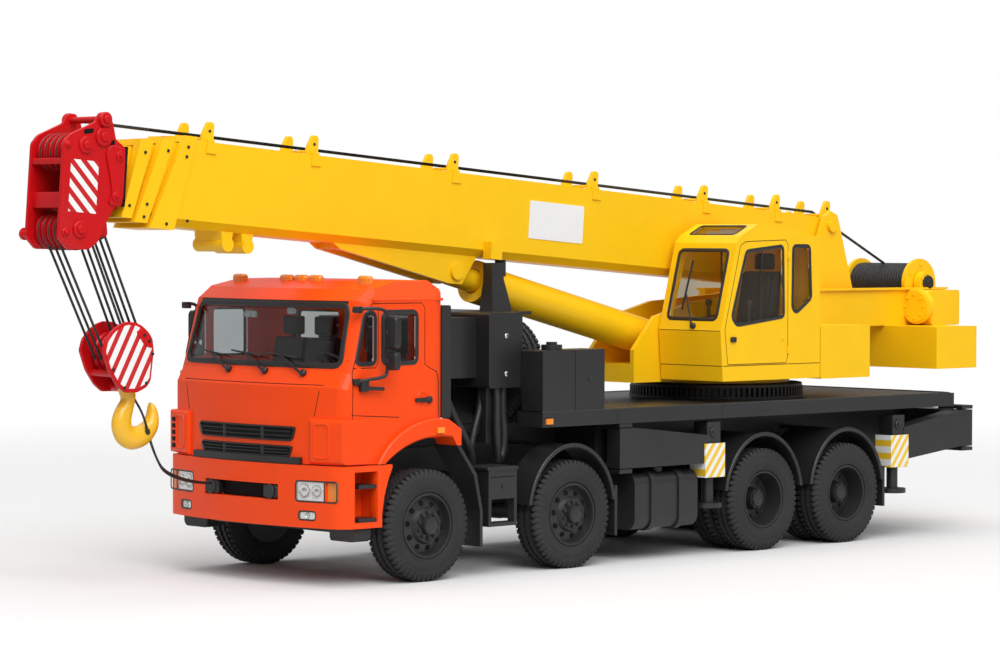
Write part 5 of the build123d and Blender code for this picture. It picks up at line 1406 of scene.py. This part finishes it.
@dataclass
class Winch:
    """The rope on the drum, and the fittings of the winch's frame."""

    axis_along: float = -184.4
    axis_up: float = 60.6
    half: float = 8.9
    layer: float = 5.0
    pitch: float = 0.94

    def build(self) -> None:
        """Makes the windings, whose radius is the layer's less a half round for each turn of the helix."""
        across = np.linspace(-self.half, self.half, 229)
        angle = np.arange(48) * TURN / 48
        turn = (across[:, None] / self.pitch + angle[None] / TURN) % 1.0
        bulge = np.sqrt(np.clip(1 - (2 * turn - 1) ** 2, 0.0, 1.0))
        radius = self.layer - 0.42 + 0.42 * bulge
        points = np.stack([self.axis_along + radius * np.cos(angle),
                           np.broadcast_to(across[:, None], radius.shape),
                           self.axis_up + radius * np.sin(angle)], -1)
        make("winch_windings", [grid(points, False, True, True)], ROPE, "winch",
             ["winch_rope"], 60.0)
        hub = (self.axis_along, 12.2, self.axis_up)
        profile = [(-0.1, 1.9), (0.5, 1.9), (0.7, 1.6), (0.7, 1.0), (0.9, 0.9), (0.9, 0.3)]
        make("drum_caps", paired([lathe(profile, hub, ACROSS, 28)]), TRIM, "turntable")
        bolts = nut(ACROSS, 0.42, 0.4).copies(circle_places(hub, ACROSS, 2.4, 6))
        flange = lathe([(-0.4, 4.4), (0.4, 4.4), (0.6, 4.1), (0.6, 3.6)], (-176.4, 15.4, 55.0), ALONG, 32)
        studs = nut(ALONG, 0.36, 0.4).copies(circle_places((-175.4, 15.4, 55.0), ALONG, 2.9, 8))
        make("winch_bolts", paired([bolts]) + [flange, studs], YELLOW, "turntable")
        places = circle_places((self.axis_along, 9.9, self.axis_up), ACROSS, 4.6, 6)
        make("drum_studs", paired([nut(ACROSS, 0.4, 0.35).copies(places)]), YELLOW, "winch")


@dataclass
class BoomTrim:
    """The rope along the boom, the blank sign, and the bolts of the collars and guides."""

    half: float = 5.5
    rope_radius: float = 0.34
    rope_rise: float = 3.5
    guides: tuple[float, ...] = (193.0, 164.7, 124.1, 80.3, 43.3, 17.6, -1.0)

    def rope(self) -> None:
        """Makes the rope: stretches that slide with the sections, and the run from the foot to the drum."""
        stretches = (("boom", -1.2, 196.0, "boom_rope"), ("section_2", 88.0, 200.0, "rope_stretch_2"),
                     ("section_3", 93.0, 205.0, "rope_stretch_3"),
                     ("section_4", 98.0, 221.0, "rope_stretch_4"))
        for body, low, high, name in stretches:
            flat = np.array([(low, self.rope_rise), (high, self.rope_rise)])
            path = BOOM_VIEW.put(dense(flat, 6.0))
            make(name, [tube(path, self.rope_radius, sides=8)], ROPE, body)
        top = BOOM_VIEW.put([-1.0, self.rope_rise])
        drum = np.array([-182.2, 0.0, 60.6 + 4.9])
        path = dense(np.array([drum, top]), 1.5)
        make("winch_run", [tube(path, self.rope_radius, sides=8)], ROPE, "turntable",
             bridge=Bridge("boom", path[0], path[-1]))

    def sign(self) -> None:
        """Makes the blank white sign on the near side, with its thin edge."""
        outline = rounded(rectangle(83.9, -10.7, 101.0, -2.2), 0.4)
        make("sign_plate", [BOOM_VIEW.prism(outline, self.half - 0.02, self.half + 0.14, 0.04)], WHITE,
             "boom")

    def bolts(self) -> None:
        """Makes the collars' bolts and the guides' side plates, each on the body that carries it."""
        small = nut(ACROSS, 0.34, 0.34)
        base = [(199.2, 0.4), (199.5, -1.6), (203.7, -15.6), (198.4, -14.6)]
        bodies = (("boom", base, 6.1), ("section_2", [(204.0, -0.8), (209.2, -14.6), (208.6, -12.0)], 5.7),
                  ("section_3", [(209.4, -1.6), (212.6, -12.6)], 5.2))
        for body, places, face in bodies:
            spots = BOOM_VIEW.put(np.array([(s, t, face) for s, t in places]))
            make(f"collar_bolts_{body}", paired([small.copies(spots)]), TRIM, body)
        eyes = []
        ears = []
        lugs = []
        for place in self.guides:
            lug = ((place - 1.5, 1.95), (place + 1.7, 1.95), (place + 1.4, 3.6), (place + 0.2, 6.2),
                   (place - 1.1, 6.2), (place - 1.5, 5.6))
            lugs += paired([BOOM_VIEW.prism(rounded(lug, 0.3, 3), 3.7, 4.6, 0.1)])
            bar = BOOM_VIEW.put([place + 0.5, 2.7, 0.0])
            lugs.append(lathe([(-3.8, 0.32), (3.8, 0.32)], bar, ACROSS, 12))
            spot = BOOM_VIEW.put([place - 0.3, 2.0 + 2.3, 4.6])
            eyes.append(boss(spot, ACROSS, 0.34, 0.12, 0.05, 14))
            ear = ((place - 1.5, -0.4), (place + 1.1, -0.4), (place + 1.0, 2.0), (place - 1.4, 2.0))
            ears.append(BOOM_VIEW.prism(ear, self.half - 0.05, self.half + 0.35, 0.1))
            rib = rectangle(place - 0.9, 2.0, place + 0.9, 2.5)
            ears.append(BOOM_VIEW.prism(rib, 4.5, self.half + 0.3, 0.08))
        make("guide_lugs", lugs, YELLOW, "boom", ["boom_guides"])
        make("guide_pins", paired(eyes), TRIM, "boom")
        make("guide_ears", paired(ears), YELLOW, "boom")

    def build(self) -> None:
        """Makes everything on the boom's sections."""
        self.rope()
        self.sign()
        self.bolts()


@dataclass
class Head:
    """The boom's head: two side plates with sheaves between them, bosses, bolts and stripes."""

    inner: float = 4.95
    face: float = 5.7
    upper: tuple[float, float] = (225.1, -3.0)
    lower: tuple[float, float] = (224.5, -18.6)
    roller: tuple[float, float] = (218.3, -18.2)
    sheave: float = 3.9
    rows: tuple[float, ...] = (-3.6, -1.8, 0.0, 1.8, 3.6)
    bosses: Points = (
        (220.5, 3.9, 1.5, 0.9), (224.6, -1.6, 1.7, 0.5), (229.0, -1.9, 0.75, 0.35), (220.5, 0.4, 1.9, 0.6),
        (224.9, -18.4, 1.7, 0.5), (228.4, -19.2, 0.9, 0.4),
    )
    pad: Points = (
        (218.4, -0.9), (216.0, -1.3), (214.9, -2.6), (214.9, -11.8), (216.4, -13.2), (218.4, -12.8),
        (217.6, -10.6), (218.6, -6.4), (219.8, -2.8),
    )
    outline: Points = (
        (230.0, -1.6), (228.6, 0.2), (222.6, 3.2), (221.6, 5.2), (219.6, 5.4), (218.2, 3.6), (217.2, 0.2),
        (214.7, -1.2), (214.7, -12.7), (216.8, -13.6), (218.4, -16.6), (220.2, -20.6), (222.4, -22.2),
        (227.6, -22.5), (230.0, -20.4),
    )

    def plates(self) -> None:
        """Makes the side plates, the block behind them, and the bars and sheaves between them."""
        shapes = paired([BOOM_VIEW.prism(rounded(self.outline, 0.6, 5), self.inner, self.face, 0.12)])
        inside = self.inner + 0.05
        for flat in (rectangle(228.4, -5.8, 229.7, -4.5),
                     rectangle(226.4, -14.4, 229.0, -11.2),
                     rectangle(214.9, -12.4, 217.0, -1.6)):
            shapes.append(BOOM_VIEW.prism(rounded(flat, 0.3, 3), -inside, inside))
        for place in (self.upper, self.lower):
            for row in self.rows:
                centre = BOOM_VIEW.put([*place, row])
                shapes.append(grooved_wheel(centre, self.sheave, 0.5, 0.4, 0.16))
            shapes.append(lathe([(-inside, 1.1), (inside, 1.1)], BOOM_VIEW.put([*place, 0.0]), ACROSS, 20))
        tie = BOOM_VIEW.put([220.5, 3.9, 0.0])
        shapes.append(lathe([(-inside, 0.7), (inside, 0.7)], tie, ACROSS, 20))
        stub = [(0.1, 1.0), (-0.9, 1.0), (-1.0, 1.25), (-1.5, 1.25), (-1.7, 1.05)]
        shapes.append(lathe(stub, BOOM_VIEW.put([229.0, -19.6, -self.face]), ACROSS, 24))
        make("head_plates", shapes, RED, "section_4", ["boom_head"])

    def fittings(self) -> None:
        """Makes the bosses and bolts; places are (along the boom, up from its axis)."""
        shapes = []
        for s, t, radius, height in self.bosses:
            centre = BOOM_VIEW.put([s, t, self.face])
            shapes.append(boss(centre, ACROSS, radius, height, 0.18, 28))
            shapes.append(boss(centre + np.array([0, height, 0]), ACROSS, 0.5 * radius, 0.4, 0.12, 20))
        shapes.append(BOOM_VIEW.prism(rounded(self.pad, 0.7, 4), self.face - 0.02, self.face + 0.4, 0.12))
        places = np.array([(216.3, -3.1, self.face + 0.4), (216.7, -11.2, self.face + 0.4)])
        shapes.append(boss((0, 0, 0), ACROSS, 1.0, 0.3, 0.1).copies(BOOM_VIEW.put(places)))
        shapes.append(nut(ACROSS, 0.62, 0.7).copies(BOOM_VIEW.put(places)))
        make("head_fittings", paired(shapes), RED, "section_4")
        # Painted shade: near-black slips fill the head plates' two slots.
        slots = [BOOM_VIEW.prism(rounded(flat, 0.45, 4), self.face - 0.02, self.face + 0.05) for flat in (
            ((225.3, 0.5), (222.9, 1.0), (222.9, 1.9), (225.3, 1.5)),
            ((218.7, -1.2), (217.9, -1.8), (217.4, -0.2), (218.1, 0.2)))]
        make("head_slot_shade", paired(slots), SHADE, "section_4")
        seal = BOOM_VIEW.prism(rectangle(214.15, -13.0, 214.75, -1.0), 5.26, 5.74)
        make("head_seals", paired([seal]), SHADE, "section_4")
        panel = rounded(rectangle(221.2, -15.0, 228.0, -4.6), 0.2)
        stripes = paired([BOOM_VIEW.prism(panel, self.face - 0.02, self.face + 0.06)])
        make("head_stripes", stripes, HEAD_STRIPES, "section_4")

    def ropes(self) -> None:
        """Makes the rope in the sheaves' grooves, and the small roller behind them with its hangers."""
        centres = [BOOM_VIEW.put([*place, row]) for place in (self.upper, self.lower) for row in self.rows]
        loops = [circle_places(centre, ACROSS, self.sheave - 0.25, 40) for centre in centres]
        wraps = [tube(loop, 0.26, 0.26, ACROSS, 6, True) for loop in loops]
        make("sheave_ropes", wraps, ROPE, "section_4")
        centre = BOOM_VIEW.put([*self.roller, 0.0])
        rim = [(-3.4, 1.0), (-3.4, 1.8), (-2.9, 1.35), (2.9, 1.35), (3.4, 1.8), (3.4, 1.0)]
        make("head_roller", [lathe(rim, centre, ACROSS, 28)], TRIM, "section_4")
        s, t = self.roller
        strap = ((s - 1.5, t - 0.9), (s + 0.9, t - 1.5), (s + 2.6, t + 3.6), (s - 0.4, t + 5.0))
        hanger = BOOM_VIEW.prism(rounded(strap, 0.7, 4), 3.6, 4.3, 0.1)
        pin = boss(BOOM_VIEW.put([s, t, 4.2]), ACROSS, 0.9, 0.4, 0.12, 20)
        make("roller_hangers", paired([hanger, pin]), RED, "section_4")

    def build(self) -> None:
        """Makes everything on the boom's head."""
        self.plates()
        self.fittings()
        self.ropes()


@dataclass
class Hook:
    """The falls, the hook's block with its stripes, the hook and the thread that ties it down."""

    inner: float = 3.4
    face: float = 4.2
    rows: tuple[float, ...] = (-2.0, 0.0, 2.0)
    pin: tuple[float, float] = (-1.9, -29.0)
    sheave: float = 4.5
    runs: tuple[Points, ...] = (
        ((2.1, -1.0), (2.5, -28.0)), ((-4.9, -4.5), (-3.4, -28.0)), ((-8.5, -3.8), (-7.0, -27.6)),
    )
    latch: Points = ((-4.9, -25.6), (-6.8, -25.6), (-7.8, -28.6), (-7.0, -30.6), (-5.6, -29.2))
    cheek: Points = (
        (4.1, -25.2), (2.45, -23.5), (0.22, -22.6), (-2.0, -22.4), (-4.0, -22.8), (-5.9, -24.0),
        (-7.1, -25.5), (-7.9, -27.4), (-8.1, -29.0), (-7.3, -31.2), (-3.8, -36.2), (-2.2, -36.9),
        (0.3, -36.7), (3.1, -35.2), (4.1, -33.0), (4.6, -29.4),
    )
    bend: Points = (
        (-0.2, -36.4, 1.7), (0.0, -37.8, 1.6), (0.7, -38.9, 1.45), (2.5, -40.1, 1.9), (4.2, -41.8, 2.25),
        (4.6, -43.9, 2.35), (3.7, -45.6, 2.4), (2.1, -46.4, 2.35), (0.0, -46.7, 2.2), (-2.2, -46.0, 1.75),
        (-3.5, -44.5, 1.35), (-4.1, -42.9, 0.9), (-4.2, -42.2, 0.5), (-4.2, -41.9, 0.15),
    )
    thread_route: Points = (
        (54.6, 0.4, 38.6), (53.7, 1.6, 36.0), (53.0, 1.9, 33.6), (50.8, 0.2, 30.4), (47.8, -1.8, 27.0),
        (44.2, -3.8, 23.6), (36.4, -6.6, 21.2), (30.0, -8.8, 20.2), (27.4, -9.5, 19.9),
    )
    thread_slack: tuple[float, ...] = (0.0, 0.0, 0.3, 1.0, 1.0, 0.7, 0.4, 0.2, 0.0)

    def falls(self) -> None:
        """Makes nine ropes: three hang with the hook, six stretch from the head to the block."""
        sets = []
        for top, foot in self.runs:
            paths = [HOOK_VIEW.put(dense([(*top, row), (*foot, row)], 3.0)) for row in self.rows]
            sets.append((paths[1], [tube(path, 0.27, sides=8) for path in paths]))
        make("falls", sets[0][1], ROPE, "hook_group", ["rope_falls"])
        for name, (path, shapes) in (("falls_middle", sets[1]), ("falls_rear", sets[2])):
            make(name, shapes, ROPE, "section_4",
                 bridge=Bridge("hook_group", path[0], path[-1]))

    def block(self) -> None:
        """Makes the block's cheeks, bars and sheaves, and its stripes, latch and bolts."""
        flat = rounded(self.cheek, 0.5, 4)
        shapes = paired([HOOK_VIEW.prism(flat, self.inner, self.face, 0.15)])
        for row in self.rows:
            shapes.append(grooved_wheel(HOOK_VIEW.put([*self.pin, row]), self.sheave, 0.6, 0.5, 0.2))
        for place, radius in (((3.4, -30.6), 0.75), ((-1.9, -29.0), 1.0), ((-5.4, -31.6), 0.7),
                              ((0.0, -35.4), 1.3)):
            shapes.append(lathe([(-self.inner - 0.1, radius), (self.inner + 0.1, radius)],
                                HOOK_VIEW.put([*place, 0.0]), ACROSS, 20))
        make("block_cheeks", shapes, RED, "hook_group", ["hook_block"])
        middle = flat.mean(0)
        inset = middle + (flat - middle) * 0.9
        stripes = paired([HOOK_VIEW.prism(inset, self.face - 0.02, self.face + 0.06)])
        make("block_stripes", stripes, BLOCK_STRIPES, "hook_group")
        latch = HOOK_VIEW.prism(rounded(self.latch, 0.6), self.face - 0.02, self.face + 0.22, 0.08)
        make("block_latches", paired([latch]), RED, "hook_group")
        spots = np.array([(-6.4, -27.2, self.face + 0.2), (-6.9, -28.8, self.face + 0.2),
                          (3.6, -29.6, self.face), (2.8, -34.2, self.face), (-2.4, -36.0, self.face),
                          (-6.6, -31.6, self.face)])
        bolts = nut(ACROSS, 0.34, 0.35).copies(HOOK_VIEW.put(spots))
        make("block_bolts", paired([bolts]), TRIM, "hook_group")

    def bill(self) -> None:
        """Makes the hook: an oval carried along its bend, widest in the bowl and drawn to a round tip."""
        path = smooth(self.bend, 90)
        line = HOOK_VIEW.put(path[:, :2])
        depth = np.minimum(1.65, 0.35 + 0.75 * path[:, 2])
        hook = tube(line, path[:, 2], depth, ACROSS, 20)
        make("hook_bill", [hook], HOOK, "hook_group", ["hook"])

    def thread(self) -> None:
        """Makes the thread: from the hook's neck through its bowl, and in two strands to the tow slot."""
        route = np.array(self.thread_route)
        slack = np.array(self.thread_slack)[:, None]
        second = route + slack * np.array([-0.2, 0.3, -0.8])
        shapes = [tube(smooth(line, 70), 0.24, sides=8) for line in (route, second)]
        shapes.append(lathe([(-0.6, 0.3), (-0.35, 0.55), (0.35, 0.55), (0.6, 0.3)], (52.4, 1.6, 32.2),
                            (0.3, 0.2, 1), 14))
        make("hook_thread", shapes, ROPE, "hook_group")

    def build(self) -> None:
        """Makes everything that hangs from the boom's head."""
        self.falls()
        self.block()
        self.bill()
        self.thread()


def posed(across: np.ndarray, rise: np.ndarray, back: np.ndarray, place: Sequence[float]) -> Matrix:
    """Returns the pose of a camera or a lamp from its own three axes and its place."""
    turn = np.eye(4)
    turn[:3] = np.column_stack([across, rise, back, place])
    return Matrix(turn.tolist())


@dataclass
class Studio:
    """The white floor, the light and the camera."""

    eye: tuple[float, float, float] = (0.527005, 0.5413, 0.07245)
    yaw: float = 3.947851
    pitch: float = -0.029429
    roll: float = 0.002851
    lens: float = 120.46

    def camera(self) -> None:
        """Sets the camera: the view's direction from yaw and pitch, and its upright turned by the roll."""
        flat = np.cos(self.pitch)
        ahead = np.array([flat * np.cos(self.yaw), flat * np.sin(self.yaw), np.sin(self.pitch)])
        right = unit(np.cross(ahead, (0.0, 0.0, 1.0)))
        up = np.cross(right, ahead)
        across = right * np.cos(self.roll) + up * np.sin(self.roll)
        rise = up * np.cos(self.roll) - right * np.sin(self.roll)
        data = bpy.data.cameras.new("camera")
        data.lens = self.lens
        data.sensor_width = 36.0
        data.sensor_fit = "HORIZONTAL"
        data.clip_start = 0.01
        data.clip_end = 60.0
        eye = bpy.data.objects.new("camera", data)
        eye.matrix_world = posed(across, rise, -ahead, self.eye)
        bpy.context.scene.collection.objects.link(eye)
        bpy.context.scene.camera = eye

    def floor(self) -> None:
        """Makes the floor: it takes shadows near the model, and turns white like the backdrop far off."""
        reach = 8.0
        corners = np.array([[(-reach, -reach, 0.0), (reach, -reach, 0.0)],
                            [(-reach, reach, 0.0), (reach, reach, 0.0)]])
        shape = grid(corners)
        mesh = bpy.data.meshes.new("studio_floor")
        mesh.from_pydata(shape.points.tolist(), [], shape.faces)
        board = Board("studio_floor_finish")
        rays = board.node("ShaderNodeLightPath")
        place = board.place()
        fine = board.noise(place, 40.0)
        tone = board.node("ShaderNodeMix", data_type="RGBA")
        tone.inputs[6].default_value = (0.72, 0.72, 0.72, 1.0)
        tone.inputs[7].default_value = (0.5, 0.5, 0.5, 1.0)
        board.join(rays.outputs["Is Diffuse Ray"], tone.inputs[0])
        board.join(tone.outputs[2], board.shader.inputs["Base Color"])
        board.join(board.between(fine, 0.85, 0.95), board.shader.inputs["Roughness"])
        board.shader.inputs["Specular IOR Level"].default_value = 0.0
        far = board.node("ShaderNodeVectorMath", operation="LENGTH")
        board.join(place, far.inputs[0])
        fade = board.node("ShaderNodeMapRange", interpolation_type="SMOOTHSTEP")
        fade.inputs["From Min"].default_value = 0.2
        fade.inputs["From Max"].default_value = 0.6
        board.join(far.outputs["Value"], fade.inputs["Value"])
        glow = board.node("ShaderNodeEmission")
        level = board.node("ShaderNodeMapRange")
        level.inputs["To Min"].default_value = 0.45
        level.inputs["To Max"].default_value = 1.0
        board.join(rays.outputs["Is Camera Ray"], level.inputs["Value"])
        board.join(level.outputs["Result"], glow.inputs["Strength"])
        mixed = board.node("ShaderNodeMixShader")
        board.join(fade.outputs["Result"], mixed.inputs[0])
        board.join(board.shader.outputs["BSDF"], mixed.inputs[1])
        board.join(glow.outputs["Emission"], mixed.inputs[2])
        board.join(mixed.outputs[0], board.tree.nodes["Material Output"].inputs["Surface"])
        mesh.materials.append(board.material)
        floor = bpy.data.objects.new("studio_floor", mesh)
        bpy.context.scene.collection.objects.link(floor)

    def sky(self) -> None:
        """Sets the world: white to the camera and through glass, and as light a level that grows upwards."""
        world = bpy.data.worlds.new("studio_sky")
        bpy.context.scene.world = world
        world.use_nodes = True
        tree = world.node_tree
        back = tree.nodes["Background"]
        rays = tree.nodes.new("ShaderNodeLightPath")
        seen = tree.nodes.new("ShaderNodeMath")
        seen.operation = "MAXIMUM"
        tree.links.new(rays.outputs["Is Camera Ray"], seen.inputs[0])
        tree.links.new(rays.outputs["Is Transmission Ray"], seen.inputs[1])
        place = tree.nodes.new("ShaderNodeTexCoord")
        parts = tree.nodes.new("ShaderNodeSeparateXYZ")
        tree.links.new(place.outputs["Generated"], parts.inputs[0])
        rise = tree.nodes.new("ShaderNodeMapRange")
        rise.inputs["To Min"].default_value = 0.3
        rise.inputs["To Max"].default_value = 0.85
        tree.links.new(parts.outputs["Z"], rise.inputs["Value"])
        level = tree.nodes.new("ShaderNodeMix")
        level.inputs[3].default_value = 1.0
        tree.links.new(seen.outputs[0], level.inputs[0])
        tree.links.new(rise.outputs["Result"], level.inputs[2])
        tree.links.new(level.outputs[0], back.inputs["Strength"])
        back.inputs["Color"].default_value = (1.0, 1.0, 1.0, 1.0)

    def lamp(self, name: str, place: tuple[float, float, float], size: float, energy: float) -> None:
        """Hangs a square soft lamp that points at the middle of the model.

        Args:
            name: The lamp's name.
            place: Where it hangs, in metres.
            size: Its width in metres.
            energy: Its power in watts.
        """
        data = bpy.data.lights.new(name, "AREA")
        data.size = size
        data.energy = energy
        lamp = bpy.data.objects.new(name, data)
        back = unit(np.array(place) - np.array([0.0, 0.0, 0.04]))
        across = unit(np.cross((0.0, 1.0, 0.0), back))
        lamp.matrix_world = posed(across, np.cross(back, across), back, place)
        bpy.context.scene.collection.objects.link(lamp)

    def build(self) -> None:
        """Sets up the floor, the light and the camera."""
        bpy.context.scene.view_settings.view_transform = "Standard"
        self.camera()
        self.floor()
        self.sky()
        self.lamp("key_lamp", (0.5, 0.95, 0.9), 0.9, 13.0)
        self.lamp("top_lamp", (0.0, 0.1, 1.3), 1.2, 7.0)


@dataclass
class Dressing:
    """Gives every solid the finish of its material slot."""

    finishes: dict[str, Finish] = field(default_factory=lambda: {
        "orange_paint": ORANGE, "yellow_paint": YELLOW, "red_paint": RED, "chassis_black": CHASSIS,
        "deck_black": DECK, "trim_black": TRIM, "wheel_black": WHEEL, "tyre_rubber": RUBBER,
        "cab_glass": CAB_GLASS, "crane_glass": CRANE_GLASS, "lamp_clear": CLEAR_LAMP,
        "lamp_amber": AMBER_LAMP, "lamp_red": RED_LAMP, "interior_black": DARK, "rope_black": ROPE,
        "hook_yellow": HOOK,
    })
    slots: dict[str, tuple[str, ...]] = field(default_factory=lambda: {
        "orange_paint": ("cab_shell", "bumper"),
        "yellow_paint": ("turntable_base", "turntable_cheeks", "op_cab_shell", "winch_frame",
                         "counterweight", "winch_drum", "boom_base", "boom_guides", "boom_brackets",
                         "boom_section_2", "boom_section_3", "boom_section_4", "lift_cylinder",
                         "lift_rod"),
        "red_paint": ("boom_head", "hook_block"),
        "deck_black": ("deck", "tool_boxes", "equipment_box"),
        "trim_black": ("grille", "mirrors", "cab_steps", "air_intake"),
        "cab_glass": ("cab_glass",),
        "crane_glass": ("op_cab_glass",),
        "lamp_clear": ("lamps_clear",),
        "lamp_amber": ("lamps_amber",),
        "lamp_red": ("lamps_red",),
        "interior_black": ("cab_interior", "op_cab_seat"),
        "rope_black": ("rope_falls", "winch_rope"),
        "hook_yellow": ("hook",),
    })

    def slot_of(self, node: str) -> str:
        """Returns a solid's slot: the one that lists it, or the wheel's, the tyre's or the chassis's."""
        for slot, nodes in self.slots.items():
            if node in nodes:
                return slot
        if node.endswith("_wheels"):
            return "wheel_black"
        if node.endswith("_tyres") or node == "spare_wheel":
            return "tyre_rubber"
        return "chassis_black"

    def build(self, nodes: dict[str, bpy.types.Object]) -> None:
        """Puts a finish on every solid.

        Args:
            nodes: The solids by name.
        """
        for name, solid in nodes.items():
            solid.data.materials.clear()
            solid.data.materials.append(self.finishes[self.slot_of(name)].material())


def main() -> None:
    """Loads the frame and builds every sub-assembly on it."""
    logging.basicConfig(level=logging.INFO, format="%(message)s")
    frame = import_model()
    Studio().build()
    Dressing().build(frame["nodes"])
    Tyres(1, 0.0, 7.0, 7.0, (22.2,)).build()
    Tyres(2, -42.6, 7.0, 7.0, (22.2,)).build()
    Tyres(3, -104.9, 6.65, 6.6, (22.6, 15.1)).build()
    Tyres(4, -134.2, 6.65, 6.6, (22.6, 15.1)).build()
    for axle, along in enumerate((0.0, -42.6, -104.9, -134.2), start=1):
        WheelTrim(axle, along, axle > 2).build()
    SpareWheel().build()
    CabTrim().build()
    Mirrors().build()
    Grille(CabTrim()).build()
    BumperTrim().build()
    ChassisTrim().build()
    for side in Side:
        JackTrim("front", side, -88.2, 17.6).build()
        JackTrim("rear", side, -153.6, 16.9).build()
    SlewRing().build()
    CraneCab().build()
    Winch().build()
    BoomTrim().build()
    Head().build()
    Hook().build()


if __name__ == "__main__":
    main()
